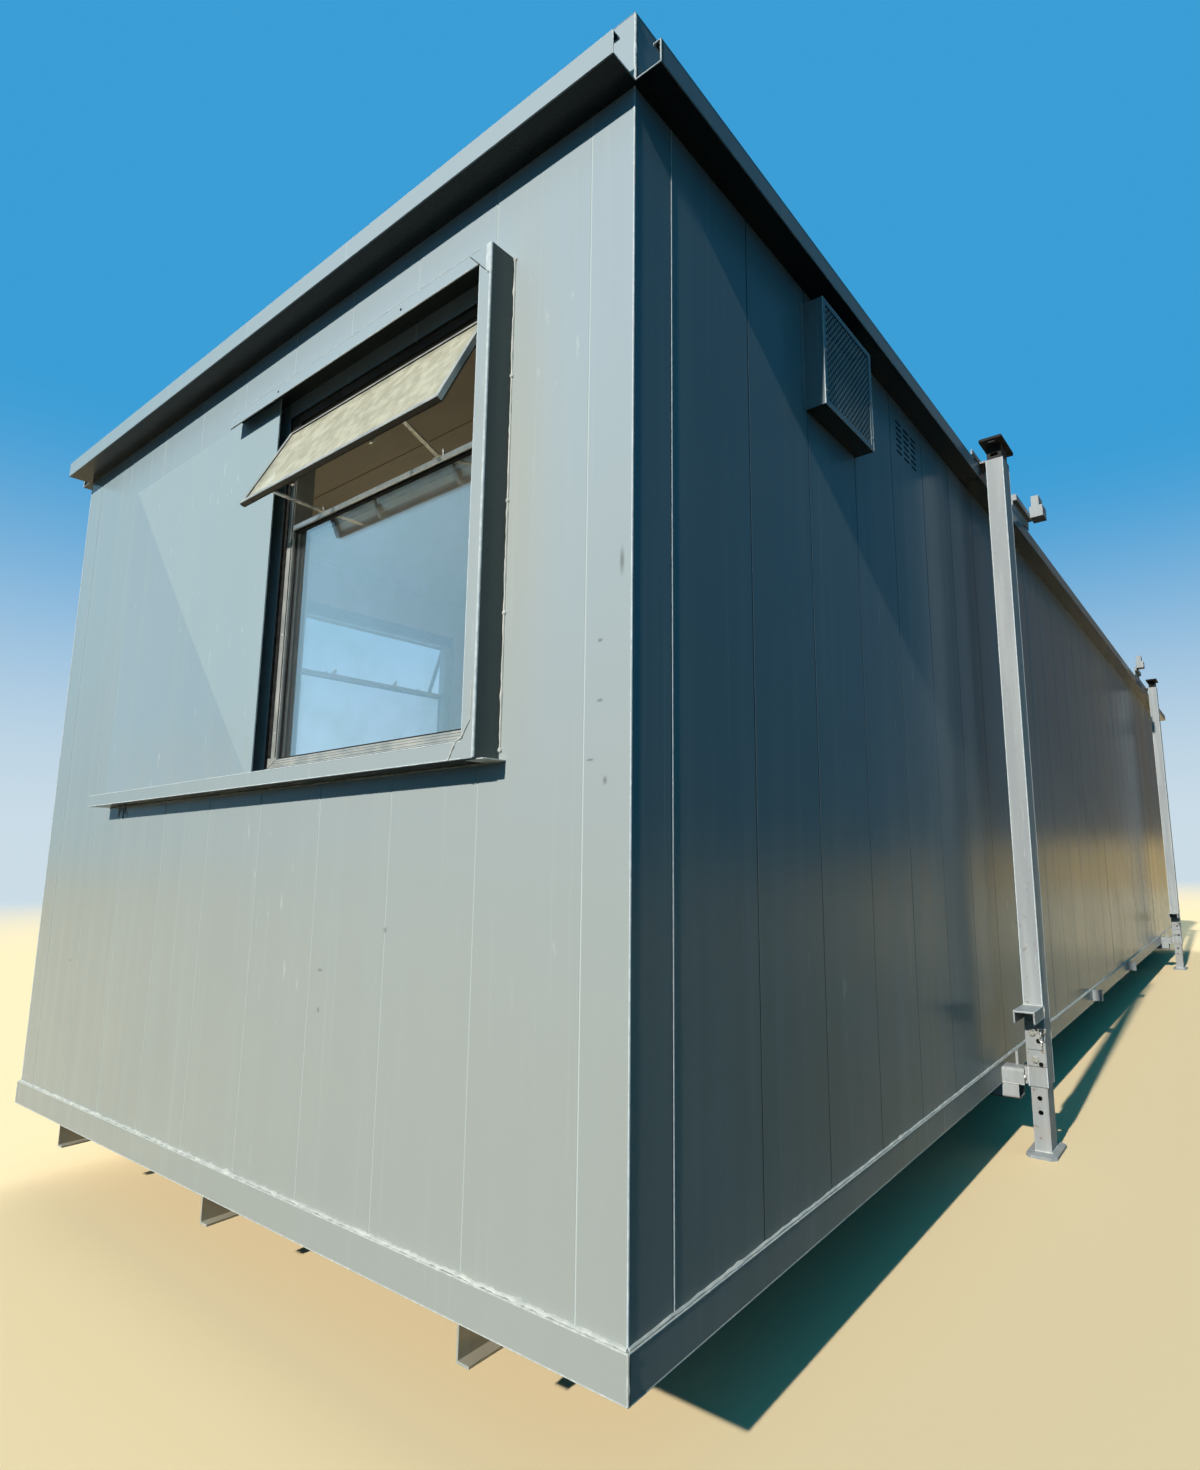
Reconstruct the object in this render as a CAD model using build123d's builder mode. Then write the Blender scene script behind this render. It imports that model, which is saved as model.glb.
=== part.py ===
from build123d import *

import math
import os

# Portable steel site cabin on four jacking legs. Millimetres, +Z up, the long side along Y.
# The end wall with the window faces -Y, and z = 0 is the ground under the foot plates.

os.makedirs("parts", exist_ok=True)

# Body: planks of one width cover every wall between the corner posts
plank_pitch = 305.0
end_planks = 9
side_planks = 31
corner_cover = 127.5
wall_height = 2374.0
ground_gap = 235.0

# Walls
wall_recess = 8.0
cladding_thickness = 10.0
core_thickness = 60.0
seam_width = 5.0

# Base frame
rail_height = 77.0
rail_flange = 90.0
rail_steel = 5.0
deck_thickness = 22.0
joist_width = 50.0
joist_steel = 4.0
joist_planks = 2
runner_pitch = 1055.0
runner_offset = 21.0
runner_depth = 66.0
runner_width = 38.0
runner_steel = 5.0

# Roof
roof_edge_height = 170.0
roof_edge_steel = 4.0
roof_edge_lap = 50.0
ridge_rise = 24.0
ceiling_thickness = 70.0

# Gutters, folded from sheet and open at both ends
gutter_reach = 70.0
gutter_face = 56.0
gutter_back = 34.0
gutter_lip = 20.0
gutter_steel = 3.0

# Windows
window_planks = 3
window_bottom = 1043.0
window_height = 1050.0
front_window_plank = 5
left_window_start = 850.0
window_side_member = 48.0
window_end_member = 24.0
window_depth = 50.0
window_set_back = 8.0
transom_below_head = 348.0
transom_member = 16.0
glass_thickness = 6.0
glass_set_back = 10.0
hinge_rail_height = 30.0
hinge_rail_set_back = 9.0
sash_member = 16.0
sash_depth = 12.0
sash_angle = 24.4
sash_below_head = 52.0
sash_drop = 301.0
sash_overlap = 30.5
sash_gap = 0.4
stay_width = 12.0
stay_steel = 4.0
stay_foot_across = 255.0
stay_head_across = 295.0
stay_foot_set_back = 8.0
stay_gap = 0.3

# Sliding security shutter beside each window
shutter_frame_reach = 66.0
shutter_frame_face = 38.0
shutter_frame_steel = 4.0
shutter_frame_above = 53.0
shutter_frame_below = 56.0
shutter_frame_right = 65.5
top_rail_length = 1215.0
sill_rail_length = 2048.0
shutter_width = 1028.0
shutter_steel = 3.0
shutter_break = 6.0
shutter_stand_off = 30.0
shutter_clearance = 2.0
shutter_start = 1.0

# Door in the long left wall
door_planks = 3
door_first_plank = 19
door_height = 2060.0
door_frame_member = 45.0
door_stop = 12.0
door_thickness = 44.0
door_gap = 4.0
handle_height = 1000.0
handle_from_edge = 75.0
handle_plate_width = 46.0
handle_plate_height = 200.0
handle_plate_steel = 6.0
handle_neck = 22.0
handle_rise = 40.0
lever_length = 126.0
lever_width = 22.0
lever_steel = 12.0
lever_above_middle = 40.0

# Vents high on the right wall
cowl_depth = 62.0
cowl_height = 323.0
cowl_below_soffit = 49.0
cowl_side_lap = 8.0
cowl_first_plank = 2
cowl_steel = 2.0
grille_holes = 12
grille_hole = 13.0
grille_frame = 16.0
slot_length = 52.0
slot_height = 8.0
slot_columns = 3
slot_rows = 6
slot_pitch_across = 70.0
slot_pitch_up = 22.0
slot_plank = 4
slots_below_soffit = 131.0

# Jacking legs
leg_from_front = 2200.0
leg_from_back = 1890.0
leg_stand_off = 100.0
leg_width = 70.0
leg_depth = 100.0
leg_steel = 5.0
leg_bottom = 240.0
leg_top = 2750.0
foot_clearance = 0.3
foot_steel = 4.0
foot_length = 1900.0
foot_plate_width = 110.0
foot_plate_length = 190.0
foot_plate_steel = 12.0
foot_plate_clip = 18.0
foot_pin_hole = 9.0
foot_pin_height = 148.0
foot_pin_pitch = 50.0
cap_plug_seat = 50.0
cap_plate_width = 95.0
cap_plate_length = 200.0
cap_plate_steel = 10.0
cap_rise = 65.0
cap_slot_length = 34.0
cap_slot_width = 14.0
cap_slot_from_end = 24.0
cap_corner = 8.0
neck_slot_height = 22.0
hook_reach = 142.0
hook_width = 76.0
hook_height = 43.0
hook_steel = 6.0
hook_top = 532.0
doubler_bottom = 315.0
doubler_height = 156.0
doubler_steel = 6.0
bracket_width = 200.0
bracket_height = 100.0
bracket_steel = 6.0
roof_strip_outward = 156.0
roof_strip_top = 2764.0
tie_width = 40.0
top_bar_start = 490.0
top_bar_end = 797.0
top_bar_bottom = 2788.0
top_bar_height = 30.0
top_bar_width = 24.0
end_block_start = 767.0
end_block_length = 85.0
end_block_stand_off = 22.0
end_block_width = 63.0
end_block_bottom = 2797.0
end_block_height = 59.0
upper_block_stand_off = 32.0
upper_block_width = 37.0
upper_block_height = 54.0

# Transverse beams and sockets on the base
beam_width = 80.0
beam_height = 113.0
beam_bottom = 181.0
beam_reach = 82.0
beam_steel = 6.0
beam_step = 22.0
lug_width = 50.0
lug_height = 60.0
gusset_steel = 10.0
gusset_reach = 50.0
gusset_width = 25.0
gusset_height = 50.0
socket_size = 47.0
socket_steel = 5.0
socket_height = 58.0
socket_bottom = 247.0
socket_spacing = 1454.0

# Places that follow from the sizes above
body_width = end_planks * plank_pitch + 2 * corner_cover
body_length = side_planks * plank_pitch + 2 * corner_cover
half_width = body_width / 2
rail_top = ground_gap + rail_height
soffit = rail_top + wall_height
roof_seat = soffit + roof_edge_steel
wall_build = wall_recess + cladding_thickness + core_thickness
wall_total = cladding_thickness + core_thickness
window_width = window_planks * plank_pitch
sash_lean = math.radians(sash_angle)
hinge_out = sash_gap - window_set_back + sash_depth / 2 * math.cos(sash_lean)
sash_tip = sash_drop * math.sin(sash_lean) + sash_depth / 2 * math.cos(sash_lean)
front_reach = hinge_out + sash_tip - wall_recess
front_y = (front_reach - body_length - gutter_reach) / 2
back_y = front_y + body_length
middle_y = (front_y + back_y) / 2
wall_face_x = half_width - wall_recess
inner_x = half_width - wall_build
inner_y = (front_y + wall_build, back_y - wall_build)
leg_x = half_width + leg_stand_off + leg_width / 2
leg_y = (front_y + leg_from_front, back_y - leg_from_back)
leg_places = [(side * leg_x, y) for y in leg_y for side in (1, -1)]
leg_names = ["front_right", "front_left", "back_right", "back_left"]


def slab(plane, across, up, out, mode=Mode.ADD):
    """Rectangular block on a plane, given as three (low, high) pairs along its own axes."""
    with BuildSketch(plane.offset(out[0])) as outline:
        with Locations(((across[0] + across[1]) / 2, (up[0] + up[1]) / 2)):
            Rectangle(across[1] - across[0], up[1] - up[0])
    extrude(outline.sketch, amount=out[1] - out[0], mode=mode)


def block(x, y, z, mode=Mode.ADD):
    """Block between two heights, given as three (low, high) pairs."""
    slab(Plane.XY, x, y, z, mode)


def folded_bar(plane, points, steel, length, mode=Mode.ADD):
    """Bar of folded sheet: a bent line thickened to its left and drawn out along the plane's normal."""
    with BuildSketch(plane) as section:
        with BuildLine():
            Polyline(*points)
            offset(amount=steel, side=Side.LEFT, kind=Kind.INTERSECTION)
        make_face()
    extrude(section.sketch, amount=length, mode=mode)


def finish(builder, name):
    """Label a finished sub-part and write it to its own file."""
    builder.part.label = name
    export_step(builder.part, f"parts/{name}.step")


def end_plane(x):
    """Section plane for a bar that runs towards +X: across is Y, up is Z."""
    return Plane.YZ.offset(x)


def side_plane(y):
    """Section plane for a bar that runs towards -Y: across is X, up is Z."""
    return Plane.XZ.offset(-y)


def mitre(corner_x, corner_y, turn):
    """Keep what lies on the inner side of a mitre that runs through one corner of the body."""
    plane = Plane(origin=(corner_x, corner_y, 0), x_dir=(0, 0, 1), z_dir=turn)
    split(bisect_by=plane, keep=Keep.BOTTOM)


def c_section(outer, low, high, flange_low, flange_high, inward):
    """Bent line of a C-shaped edge member, from its lower flange up the web to its upper flange."""
    return [
        (outer + inward * flange_low, low),
        (outer, low),
        (outer, high),
        (outer + inward * flange_high, high),
    ]


def end_member(low, high, flange_low, flange_high, steel):
    """Front edge member with mitred ends, drawn from its outer plane inwards."""
    points = c_section(front_y, low, high, flange_low, flange_high, 1)
    folded_bar(end_plane(-half_width), points[::-1], steel, body_width)
    mitre(half_width, front_y, (1, 1, 0))
    mitre(-half_width, front_y, (-1, 1, 0))


def side_member(low, high, flange_low, flange_high, steel):
    """Right edge member with mitred ends."""
    points = c_section(half_width, low, high, flange_low, flange_high, -1)
    folded_bar(side_plane(back_y), points, steel, body_length)
    mitre(half_width, front_y, (-1, -1, 0))
    mitre(half_width, back_y, (-1, 1, 0))


# Base frame
across_middle = Plane.XZ.offset(-middle_y)

with BuildPart() as end_base_rails:
    end_member(ground_gap, rail_top, rail_flange, rail_flange, rail_steel)
    mirror(about=across_middle)
finish(end_base_rails, "end_base_rails")

beam_top = beam_bottom + beam_height

with BuildPart() as side_base_rails:
    side_member(ground_gap, rail_top, rail_flange, rail_flange, rail_steel)
    for y in leg_y:
        block(
            (half_width - rail_flange, half_width),
            (y - beam_width / 2, y + beam_width / 2),
            (ground_gap, beam_top),
            mode=Mode.SUBTRACT,
        )
    mirror(about=Plane.YZ)
finish(side_base_rails, "side_base_rails")

with BuildPart() as floor_joists:
    joist_count = round(side_planks / joist_planks) - 1
    joist_span = 2 * (half_width - rail_flange)
    for index in range(joist_count):
        steps = index - (joist_count - 1) / 2
        y = middle_y + steps * joist_planks * plank_pitch - joist_width / 2
        points = [
            (y + joist_width, ground_gap),
            (y, ground_gap),
            (y, rail_top),
            (y + joist_width, rail_top),
        ]
        folded_bar(end_plane(-joist_span / 2), points[::-1], joist_steel, joist_span)
finish(floor_joists, "floor_joists")

with BuildPart() as floor_deck:
    block((-inner_x, inner_x), inner_y, (rail_top, rail_top + deck_thickness))
finish(floor_deck, "floor_deck")

with BuildPart() as floor_runners:
    stretches = [
        (front_y, leg_y[0] - beam_width / 2),
        (leg_y[0] + beam_width / 2, leg_y[1] - beam_width / 2),
        (leg_y[1] + beam_width / 2, back_y),
    ]
    for place in (-1, 0, 1):
        left = place * runner_pitch + runner_offset
        for low_y, high_y in stretches:
            points = [
                (left, ground_gap),
                (left, ground_gap - runner_depth),
                (left + runner_width, ground_gap - runner_depth),
            ]
            folded_bar(side_plane(high_y), points, runner_steel, high_y - low_y)
finish(floor_runners, "floor_runners")

with BuildPart() as jack_beams:
    beam_end = half_width + beam_reach
    for y in leg_y:
        inward = math.copysign(1, middle_y - y)
        gusset_across = sorted((y + inward * (beam_width / 2 - gusset_width), y + inward * beam_width / 2))
        with BuildSketch(end_plane(-beam_end)) as section:
            with Locations((y, beam_bottom + beam_height / 2)):
                RectangleRounded(beam_width, beam_height, 2 * beam_steel)
                Rectangle(beam_width - 2 * beam_steel, beam_height - 2 * beam_steel, mode=Mode.SUBTRACT)
        extrude(section.sketch, amount=2 * beam_end)
        for side in (-1, 1):
            cut = sorted((side * (beam_end - beam_step), side * beam_end))
            across = (y - beam_width / 2, y + beam_width / 2)
            block(cut, across, (beam_bottom, beam_bottom + beam_height / 2), mode=Mode.SUBTRACT)
            gusset_x = half_width + gusset_reach
            gusset = sorted((side * (gusset_x - gusset_steel), side * gusset_x))
            block(gusset, gusset_across, (beam_top - beam_steel, beam_top + gusset_height))
finish(jack_beams, "jack_beams")

with BuildPart() as rail_sockets:
    with BuildSketch(Plane.XY.offset(socket_bottom)) as section:
        for side in (-1, 1):
            for step in (-1, 1):
                socket_x = side * (half_width + socket_size / 2)
                with Locations((socket_x, middle_y + step * socket_spacing / 2)):
                    Rectangle(socket_size, socket_size)
                    Rectangle(
                        socket_size - 2 * socket_steel,
                        socket_size - 2 * socket_steel,
                        mode=Mode.SUBTRACT,
                    )
    extrude(section.sketch, amount=socket_height)
finish(rail_sockets, "rail_sockets")

# Window and door places: each has a plane on the wall's face, with its origin at the bottom
# centre of the opening, across to the right and up as someone outside sees it
front_window_x = -half_width + corner_cover + front_window_plank * plank_pitch + window_width / 2
left_window_y = front_y + left_window_start + window_width / 2
door_width = door_planks * plank_pitch
door_y = front_y + corner_cover + door_first_plank * plank_pitch + door_width / 2
sill_z = rail_top + window_bottom
front_window = Plane(
    origin=(front_window_x, front_y + wall_recess, sill_z), x_dir=(1, 0, 0), z_dir=(0, -1, 0)
)
left_window = Plane(
    origin=(-wall_face_x, left_window_y, sill_z), x_dir=(0, -1, 0), z_dir=(-1, 0, 0)
)
left_door = Plane(origin=(-wall_face_x, door_y, rail_top), x_dir=(0, -1, 0), z_dir=(-1, 0, 0))


def cut_window(plane):
    """Window opening through the whole wall."""
    half = window_width / 2
    slab(plane, (-half, half), (0, window_height), (-wall_total, 0), mode=Mode.SUBTRACT)


def cut_door():
    """Door opening through the left wall, down to the base rail."""
    half = door_width / 2
    slab(left_door, (-half, half), (0, door_height), (-wall_total, 0), mode=Mode.SUBTRACT)


# Wall cores
core_outer_x = wall_face_x - cladding_thickness
core_y = front_y + wall_recess + cladding_thickness

with BuildPart() as front_wall:
    block((-core_outer_x, core_outer_x), (core_y, core_y + core_thickness), (rail_top, soffit))
    cut_window(front_window)
finish(front_wall, "front_wall")

with BuildPart() as back_wall:
    block(
        (-core_outer_x, core_outer_x),
        (inner_y[1], inner_y[1] + core_thickness),
        (rail_top, soffit),
    )
finish(back_wall, "back_wall")

with BuildPart() as right_wall:
    block((inner_x, core_outer_x), inner_y, (rail_top, soffit))
finish(right_wall, "right_wall")

with BuildPart() as left_wall:
    block((-core_outer_x, -inner_x), inner_y, (rail_top, soffit))
    cut_window(left_window)
    cut_door()
finish(left_wall, "left_wall")


def seam_grooves(places):
    """V-shaped joint lines between the planks, the whole height of the wall."""
    with BuildSketch(Plane.XY.offset(rail_top)) as grooves:
        with Locations(*places):
            Rectangle(seam_width / math.sqrt(2), seam_width / math.sqrt(2), rotation=45)
    extrude(grooves.sketch, amount=wall_height, mode=Mode.SUBTRACT)


# Cladding: steel planks on the outside of each wall
end_seams = [-half_width + corner_cover + k * plank_pitch for k in range(round(end_planks) + 1)]
side_seams = [front_y + corner_cover + k * plank_pitch for k in range(round(side_planks) + 1)]
front_face_y = front_y + wall_recess
back_face_y = back_y - wall_recess

with BuildPart() as front_cladding:
    block((end_seams[0], end_seams[-1]), (front_face_y, core_y), (rail_top, soffit))
    seam_grooves([(x, front_face_y) for x in end_seams])
    cut_window(front_window)
finish(front_cladding, "front_cladding")

with BuildPart() as back_cladding:
    block(
        (end_seams[0], end_seams[-1]),
        (back_face_y - cladding_thickness, back_face_y),
        (rail_top, soffit),
    )
    seam_grooves([(x, back_face_y) for x in end_seams])
finish(back_cladding, "back_cladding")

right_face = Plane(origin=(wall_face_x, 0, soffit), x_dir=(0, 1, 0), z_dir=(1, 0, 0))

with BuildPart() as right_cladding:
    block((core_outer_x, wall_face_x), (side_seams[0], side_seams[-1]), (rail_top, soffit))
    seam_grooves([(wall_face_x, y) for y in side_seams])
    slot_middle = front_y + corner_cover + (slot_plank + 0.5) * plank_pitch
    with BuildSketch(right_face) as slots:
        with Locations((slot_middle, -slots_below_soffit)):
            with GridLocations(slot_pitch_across, slot_pitch_up, round(slot_columns), round(slot_rows)):
                SlotOverall(slot_length, slot_height)
    extrude(slots.sketch, amount=-cladding_thickness, mode=Mode.SUBTRACT)
finish(right_cladding, "right_cladding")

with BuildPart() as left_cladding:
    block((-wall_face_x, -core_outer_x), (side_seams[0], side_seams[-1]), (rail_top, soffit))
    seam_grooves([(-wall_face_x, y) for y in side_seams])
    cut_window(left_window)
    cut_door()
finish(left_cladding, "left_cladding")

with BuildPart() as corner_posts:
    post_leg = corner_cover - wall_recess
    with BuildSketch(Plane.XY.offset(rail_top)) as section:
        with Locations((wall_face_x - post_leg / 2, front_face_y + post_leg / 2)):
            Rectangle(post_leg, post_leg)
        with Locations((core_outer_x - post_leg / 2, core_y + post_leg / 2)):
            Rectangle(post_leg, post_leg, mode=Mode.SUBTRACT)
    extrude(section.sketch, amount=wall_height)
    mirror(about=Plane.YZ)
    mirror(about=across_middle)
finish(corner_posts, "corner_posts")

# Roof
roof_edge_top = soffit + roof_edge_height

with BuildPart() as end_roof_edges:
    end_member(soffit, roof_edge_top, wall_build, roof_edge_lap, roof_edge_steel)
    mirror(about=across_middle)
finish(end_roof_edges, "end_roof_edges")

with BuildPart() as side_roof_edges:
    side_member(soffit, roof_edge_top, wall_build, roof_edge_lap, roof_edge_steel)
    mirror(about=Plane.YZ)
finish(side_roof_edges, "side_roof_edges")

with BuildPart() as ceiling:
    block((-inner_x, inner_x), inner_y, (roof_seat - ceiling_thickness, roof_seat))
finish(ceiling, "ceiling")

with BuildPart() as roof_deck:
    deck_x = half_width - roof_edge_steel
    deck_top = roof_edge_top - roof_edge_steel
    block(
        (-deck_x, deck_x),
        (front_y + roof_edge_steel, back_y - roof_edge_steel),
        (roof_seat, deck_top),
    )
    sheet_x = half_width - roof_edge_lap
    sheet_length = body_length - 2 * roof_edge_lap
    with BuildSketch(side_plane(back_y - roof_edge_lap)) as section:
        with BuildLine():
            Polyline(
                (-sheet_x, deck_top),
                (sheet_x, deck_top),
                (sheet_x, roof_edge_top),
                (0, roof_edge_top + ridge_rise),
                (-sheet_x, roof_edge_top),
                close=True,
            )
        make_face()
    extrude(section.sketch, amount=sheet_length)
finish(roof_deck, "roof_deck")


def gutter_section(outer, out):
    """Bent line of a gutter: back flange, floor, face and inward lip."""
    return [
        (outer, soffit + gutter_back),
        (outer, soffit),
        (outer + out * gutter_reach, soffit),
        (outer + out * gutter_reach, soffit + gutter_face),
        (outer + out * (gutter_reach - gutter_lip), soffit + gutter_face),
    ]


with BuildPart() as end_gutters:
    points = gutter_section(front_y, -1)
    folded_bar(end_plane(-half_width), points[::-1], gutter_steel, body_width)
    mirror(about=across_middle)
finish(end_gutters, "end_gutters")

with BuildPart() as side_gutters:
    folded_bar(side_plane(back_y), gutter_section(half_width, 1), gutter_steel, body_length)
    mirror(about=Plane.YZ)
finish(side_gutters, "side_gutters")


# Windows: a fixed pane under a top-hung vent that stands open on two stays
half_window = window_width / 2
clear_x = half_window - window_side_member
frame_out = -window_set_back
frame_in = frame_out - window_depth
transom_top = window_height - transom_below_head
transom_low = transom_top - transom_member
hinge_up = window_height - sash_below_head


def window_frame(plane):
    """Outer frame with its transom, and a set-back rail above the vent for its hinge."""
    slab(plane, (-half_window, half_window), (0, window_height), (frame_in, frame_out))
    slab(
        plane,
        (-clear_x, clear_x),
        (window_end_member, transom_low),
        (frame_in, frame_out),
        mode=Mode.SUBTRACT,
    )
    head = window_height - window_end_member
    slab(plane, (-clear_x, clear_x), (transom_top, head), (frame_in, frame_out), mode=Mode.SUBTRACT)
    slab(
        plane,
        (-clear_x, clear_x),
        (head - hinge_rail_height, head),
        (frame_in, frame_out - hinge_rail_set_back),
    )


def fixed_pane(plane):
    """Fixed glass below the transom."""
    outer = frame_out - glass_set_back
    slab(
        plane,
        (-clear_x, clear_x),
        (window_end_member, transom_low),
        (outer - glass_thickness, outer),
    )


def sash_plane(plane):
    """Plane of the open vent: its origin is the hinge line, and the vent hangs down from it."""
    hinge = plane.from_local_coords(Vector(0, hinge_up, hinge_out))
    normal = plane.z_dir * math.cos(sash_lean) + plane.y_dir * math.sin(sash_lean)
    return Plane(origin=hinge, x_dir=plane.x_dir, z_dir=normal)


sash_half = clear_x + sash_overlap


def vent_sash(plane):
    """Frame of the vent, open in the middle for its glass."""
    hung = sash_plane(plane)
    depth = (-sash_depth / 2, sash_depth / 2)
    slab(hung, (-sash_half, sash_half), (-sash_drop, 0), depth)
    slab(
        hung,
        (sash_member - sash_half, sash_half - sash_member),
        (sash_member - sash_drop, -sash_member),
        depth,
        mode=Mode.SUBTRACT,
    )


def vent_pane(plane):
    """Glass of the vent."""
    slab(
        sash_plane(plane),
        (sash_member - sash_half, sash_half - sash_member),
        (sash_member - sash_drop, -sash_member),
        (-glass_thickness / 2, glass_thickness / 2),
    )


def vent_stays(plane):
    """Two flat stays that spread from the transom to the lower edge of the vent."""
    hung = sash_plane(plane)
    for side in (-1, 1):
        foot_up = transom_top + stay_steel / 2 + stay_gap
        foot = plane.from_local_coords(
            Vector(side * stay_foot_across, foot_up, frame_out - stay_foot_set_back)
        )
        head = hung.from_local_coords(
            Vector(side * stay_head_across, sash_member / 2 - sash_drop, -sash_depth / 2)
        )
        along = head - foot
        bar = Plane(origin=foot, x_dir=plane.x_dir, z_dir=along)
        slab(
            bar,
            (-stay_width / 2, stay_width / 2),
            (-stay_steel / 2, stay_steel / 2),
            (0, along.length - stay_steel / 2 - stay_gap),
        )


with BuildPart() as front_window_frame:
    window_frame(front_window)
finish(front_window_frame, "front_window_frame")

with BuildPart() as left_window_frame:
    window_frame(left_window)
finish(left_window_frame, "left_window_frame")

with BuildPart() as window_glass:
    fixed_pane(front_window)
    fixed_pane(left_window)
finish(window_glass, "window_glass")

with BuildPart() as front_vent_sash:
    vent_sash(front_window)
finish(front_vent_sash, "front_vent_sash")

with BuildPart() as left_vent_sash:
    vent_sash(left_window)
finish(left_vent_sash, "left_vent_sash")

with BuildPart() as vent_glass:
    vent_pane(front_window)
    vent_pane(left_window)
finish(vent_glass, "vent_glass")

with BuildPart() as vent_stay_bars:
    vent_stays(front_window)
    vent_stays(left_window)
finish(vent_stay_bars, "vent_stay_bars")


# Security shutters: a C-shaped frame of angle round the window, and a plate slid open to its left
def shutter_frame(plane):
    """Top rail, right jamb and sill rail, open towards the wall and on the left."""
    right = half_window + shutter_frame_right
    low = -shutter_frame_below
    high = window_height + shutter_frame_above
    steel = shutter_frame_steel
    face = shutter_frame_face
    left = right - sill_rail_length
    slab(plane, (left, right), (low, high), (0, shutter_frame_reach))
    slab(
        plane,
        (left, right - steel),
        (low + steel, high - steel),
        (0, shutter_frame_reach - steel),
        mode=Mode.SUBTRACT,
    )
    slab(
        plane,
        (left, right - face),
        (low + face, high - face),
        (shutter_frame_reach - steel, shutter_frame_reach),
        mode=Mode.SUBTRACT,
    )
    slab(
        plane,
        (left, right - top_rail_length),
        (high - face, high),
        (0, shutter_frame_reach),
        mode=Mode.SUBTRACT,
    )


def shutter_plate(plane):
    """Steel plate with a shallow cross-broken panel, standing on the sill rail."""
    right = shutter_start - half_window
    low = shutter_frame_steel - shutter_frame_below
    high = window_height + shutter_frame_above - shutter_frame_steel - shutter_clearance
    outer = shutter_stand_off + shutter_steel
    middle = Vector(right - shutter_width / 2, (low + high) / 2, outer + shutter_break)
    slab(plane, (right - shutter_width, right), (low, high), (shutter_stand_off, outer))
    with BuildSketch(plane.offset(outer)) as base:
        with Locations((middle.X, middle.Y)):
            Rectangle(shutter_width, high - low)
    loft(sections=[base.sketch.face(), Vertex(*plane.from_local_coords(middle))])


with BuildPart() as front_shutter_frame:
    shutter_frame(front_window)
finish(front_shutter_frame, "front_shutter_frame")

with BuildPart() as left_shutter_frame:
    shutter_frame(left_window)
finish(left_shutter_frame, "left_shutter_frame")

with BuildPart() as front_shutter:
    shutter_plate(front_window)
finish(front_shutter, "front_shutter")

with BuildPart() as left_shutter:
    shutter_plate(left_window)
finish(left_shutter, "left_shutter")

# Door: a steel leaf that shuts against the stop of its frame
half_door = door_width / 2
leaf_half = half_door - door_frame_member + door_stop

with BuildPart() as door_frame:
    opening_half = half_door - door_frame_member
    slab(left_door, (-half_door, half_door), (0, door_height), (-wall_total, 0))
    slab(
        left_door,
        (-opening_half, opening_half),
        (door_frame_member, door_height - door_frame_member),
        (-wall_total, 0),
        mode=Mode.SUBTRACT,
    )
    slab(
        left_door,
        (-leaf_half, leaf_half),
        (door_frame_member - door_stop, door_height - door_frame_member + door_stop),
        (-door_thickness, 0),
        mode=Mode.SUBTRACT,
    )
finish(door_frame, "door_frame")

with BuildPart() as door:
    slab(
        left_door,
        (door_gap - leaf_half, leaf_half - door_gap),
        (door_frame_member - door_stop + door_gap, door_height - door_frame_member + door_stop - door_gap),
        (-door_thickness, 0),
    )
    handle_x = leaf_half - handle_from_edge
    lever_z = handle_height + lever_above_middle
    with BuildSketch(left_door) as plate:
        with Locations((handle_x, handle_height)):
            RectangleRounded(handle_plate_width, handle_plate_height, handle_plate_steel)
    extrude(plate.sketch, amount=handle_plate_steel)
    with BuildSketch(left_door.offset(handle_plate_steel)) as neck:
        with Locations((handle_x, lever_z)):
            Circle(handle_neck / 2)
    extrude(neck.sketch, amount=handle_rise)
    with BuildSketch(left_door.offset(handle_plate_steel + handle_rise)) as lever:
        with Locations((handle_x - (lever_length - handle_neck) / 2, lever_z)):
            SlotOverall(lever_length, lever_width)
    extrude(lever.sketch, amount=lever_steel)
finish(door, "door")

# Vent cowl on the right wall: a box open underneath, with a perforated front
cowl_plane = Plane(
    origin=(wall_face_x, front_y + corner_cover + (cowl_first_plank + 0.5) * plank_pitch, soffit),
    x_dir=(0, 1, 0),
    z_dir=(1, 0, 0),
)
cowl_half = plank_pitch / 2 + cowl_side_lap
cowl_up = (-cowl_below_soffit - cowl_height, -cowl_below_soffit)

with BuildPart() as vent_cowl:
    slab(cowl_plane, (-cowl_half, cowl_half), cowl_up, (0, cowl_depth))
    slab(
        cowl_plane,
        (cowl_steel - cowl_half, cowl_half - cowl_steel),
        (cowl_up[0] + cowl_steel, cowl_up[1] - cowl_steel),
        (0, cowl_depth - cowl_steel),
        mode=Mode.SUBTRACT,
    )
    slab(
        cowl_plane,
        (grille_frame - cowl_half, cowl_half - grille_frame),
        (cowl_up[0] + grille_frame, cowl_up[1] - grille_frame),
        (cowl_depth - cowl_steel, cowl_depth),
        mode=Mode.SUBTRACT,
    )
finish(vent_cowl, "vent_cowl")

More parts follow.
